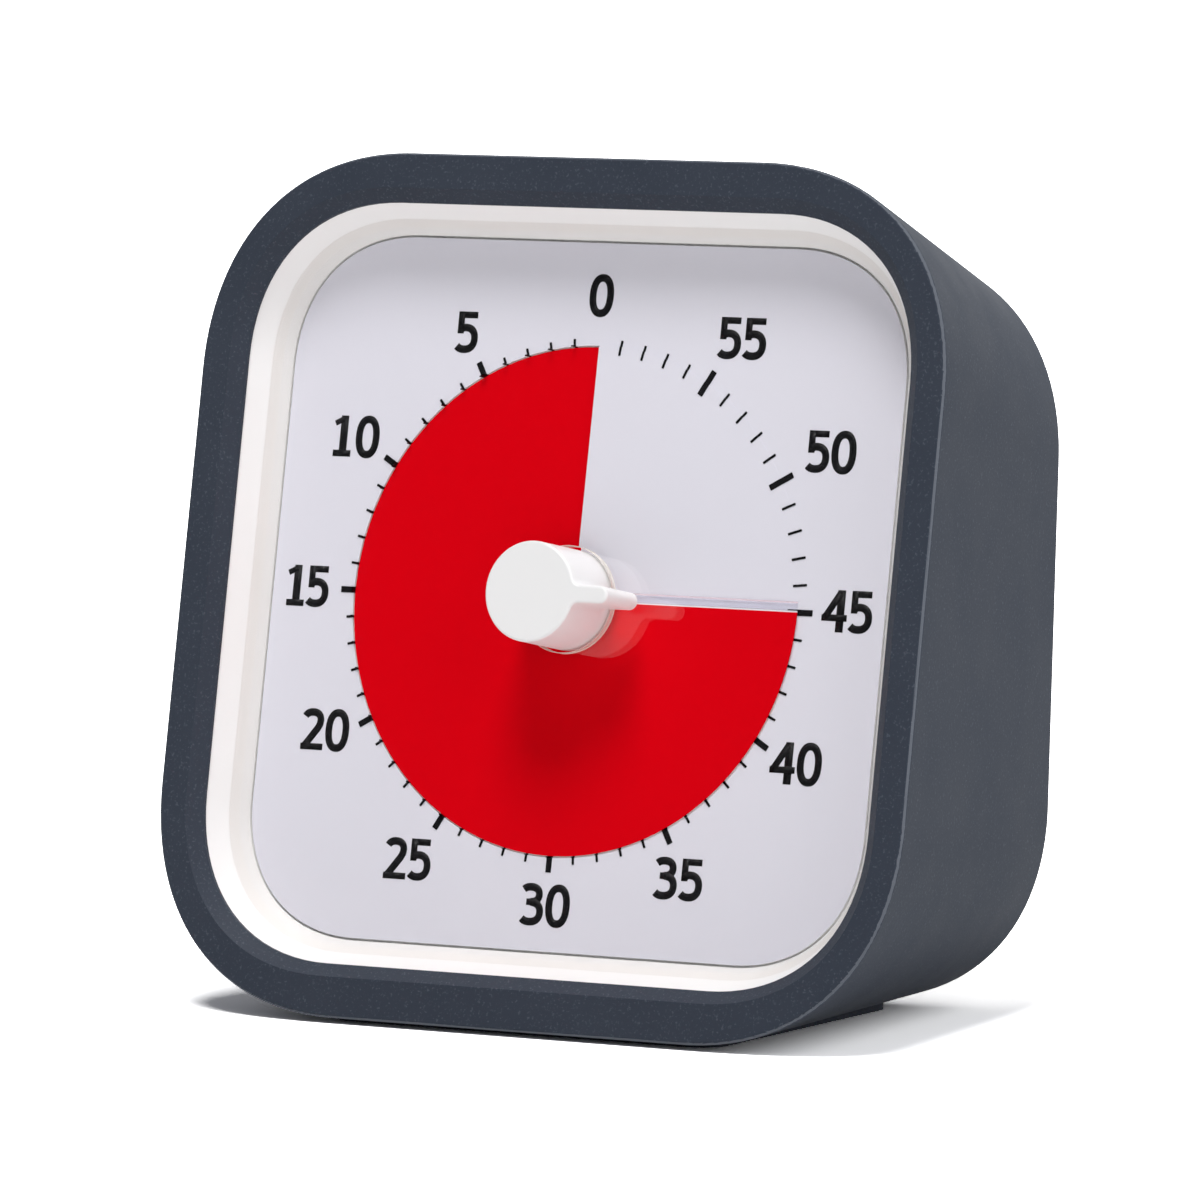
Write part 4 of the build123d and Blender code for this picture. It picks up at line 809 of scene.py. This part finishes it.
turned_steel = worked_metal(
    "zinc_plated_steel", "c3c4c8", "b2b4b9",
    roughness=0.28, mark_size=0.3, mark_depth=0.003, stretch=(1, 6, 1),
)
nickel_spring = worked_metal(
    "nickel_plated_spring_steel", "cfccc2", "bdbab0",
    roughness=0.22, mark_size=0.25, mark_depth=0.002, stretch=(5, 1, 1),
)
soft_iron = worked_metal(
    "stamped_soft_iron", "8f9094", "7d7e83",
    roughness=0.42, mark_size=0.35, mark_depth=0.004, stretch=(1, 4, 1),
)
sintered_magnet = worked_metal(
    "sintered_ferrite", "55565a", "46474b", roughness=0.55, mark_size=0.12, mark_depth=0.006
)
finish_pieces("steel", turned_steel)
finish_pieces("spring_steel", nickel_spring)
finish_pieces("iron", soft_iron)
finish_pieces("magnet", sintered_magnet)

# %% [markdown]
# The coil is enamelled copper wire of about 0.1 mm, too fine to show, so its turns are drawn at 0.25 mm. They run
# round the core, which lies along x on the movement, so the bands cross x. The copper is painted darker in the
# groove between two turns, as painted shade.

# %% Copper winding
WIRE = 0.25
WIRE_DEPTH = 0.05
winding, tree = new_material("enamelled_copper_winding")
along = add(tree, "SeparateXYZ", {0: millimetres(tree)}).outputs["X"]
phase = add(tree, "Math", {0: along, 1: math.tau / WIRE}, operation="MULTIPLY")
turns = add(tree, "Math", {0: phase}, operation="SINE")
crests_and_groove_shade = add(tree, "MapRange", {"Value": turns, "From Min": -1.0, "From Max": 1.0})
copper = add(tree, "BsdfPrincipled", {
    "Base Color": add(tree, "Mix", {"Factor": crests_and_groove_shade, "A": "7a3416", "B": "c8703a"}, data_type="RGBA"),
    "Metallic": 0.9,
    "Roughness": 0.3,
    "Coat Weight": 0.4,
    "Normal": add(tree, "Bump", {"Height": crests_and_groove_shade, "Distance": WIRE_DEPTH * MM}),
})
add(tree, "OutputMaterial", {"Surface": copper})
finish_pieces("copper", winding)

# %% [markdown]
# The movement's shells are black ABS with a deeper texture than the case. The wheels are acetal in
# its natural cream, the bobbin and the switch are nylon, and the driver chip is a drop of epoxy.

# %% Dark and pale plastics
movement_abs = moulded_plastic(
    "black_movement_abs", "1d1d20", "232327", roughness=0.5, texture_size=0.25, texture_depth=0.008
)
acetal = moulded_plastic(
    "natural_acetal", "ece7d8", "e4dfcd", roughness=0.38, texture_size=0.4, texture_depth=0.003
)
dark_nylon = moulded_plastic(
    "dark_nylon", "3b3a3c", "444345", roughness=0.45, texture_size=0.3, texture_depth=0.005
)
black_nylon = moulded_plastic(
    "black_nylon", "1b1b1e", "222226", roughness=0.48, texture_size=0.25, texture_depth=0.008
)
epoxy = moulded_plastic(
    "cast_epoxy", "0d0d0f", "131316", roughness=0.18, texture_size=2.0, texture_depth=0.02
)
finish_pieces("movement_black", movement_abs)
finish_pieces("gear_plastic", acetal)
finish_pieces("bobbin_plastic", dark_nylon)
finish_pieces("switch_black", black_nylon)
finish_pieces("resin_black", epoxy)

# %% [markdown]
# The circuit board is glass-fibre with a green solder mask. The weave of the glass shows faintly
# through the mask. Its real threads are about 0.5 mm apart and are drawn at 1 mm, so that they show.
# A wave texture has a band every tau / 20 when its scale is 1.

# %% Circuit board
THREADS = 0.99
THREAD_DEPTH = 0.01
WAVE_BAND = math.tau / 20
board, tree = new_material("green_solder_mask")
woven = {"Vector": millimetres(tree), "Scale": WAVE_BAND / THREADS}
wefts = add(tree, "TexWave", woven, bands_direction="X").outputs["Fac"]
warps = add(tree, "TexWave", woven, bands_direction="Z").outputs["Fac"]
weave = add(tree, "Math", {0: wefts, 1: warps}, operation="MULTIPLY")
mask = add(tree, "BsdfPrincipled", {
    "Base Color": add(tree, "Mix", {"Factor": weave, "A": "0f5230", "B": "17653c"}, data_type="RGBA"),
    "Roughness": 0.3,
    "IOR": 1.55,
    "Normal": add(tree, "Bump", {"Height": weave, "Distance": THREAD_DEPTH * MM}),
})
add(tree, "OutputMaterial", {"Surface": mask})
finish_pieces("board_green", board)

# %% [markdown]
# The dry cell has a printed sleeve shrunk over its can: black along most of its length and a copper
# band round its positive end. The ends of the can are bare steel.

# %% Dry cell
SLEEVE_END = 1.2
BAND = 13.0
SCUFFS = 3.0
low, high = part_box("battery")
cell, tree = new_material("sleeved_dry_cell")
place = millimetres(tree)
along = add(tree, "SeparateXYZ", {0: place}).outputs["X"]
scuffs = add(tree, "TexNoise", {"Vector": place, "Scale": 1 / SCUFFS, "Detail": 4.0})
in_band = add(tree, "Math", {0: along, 1: high.x / MM - BAND}, operation="GREATER_THAN")
can = add(tree, "Math", {0: along, 1: high.x / MM - SLEEVE_END}, operation="GREATER_THAN")
foot = add(tree, "Math", {0: along, 1: low.x / MM + SLEEVE_END}, operation="LESS_THAN")
bare = add(tree, "Math", {0: can, 1: foot}, operation="MAXIMUM")
sleeve = add(tree, "Mix", {"Factor": in_band, "A": "17181b", "B": "b5713c"}, data_type="RGBA")
jacket = add(tree, "BsdfPrincipled", {
    "Base Color": add(tree, "Mix", {"Factor": bare, "A": sleeve, "B": "c4c5c8"}, data_type="RGBA"),
    "Metallic": add(tree, "Math", {0: bare, 1: in_band}, operation="MAXIMUM"),
    "Roughness": add(tree, "MapRange", {
        **NOISE_RANGE, "Value": scuffs, "To Min": 0.24, "To Max": 0.4,
    }),
})
add(tree, "OutputMaterial", {"Surface": jacket})
finish_pieces("cell_sleeve", cell)
print("finishes:", len(finishes))
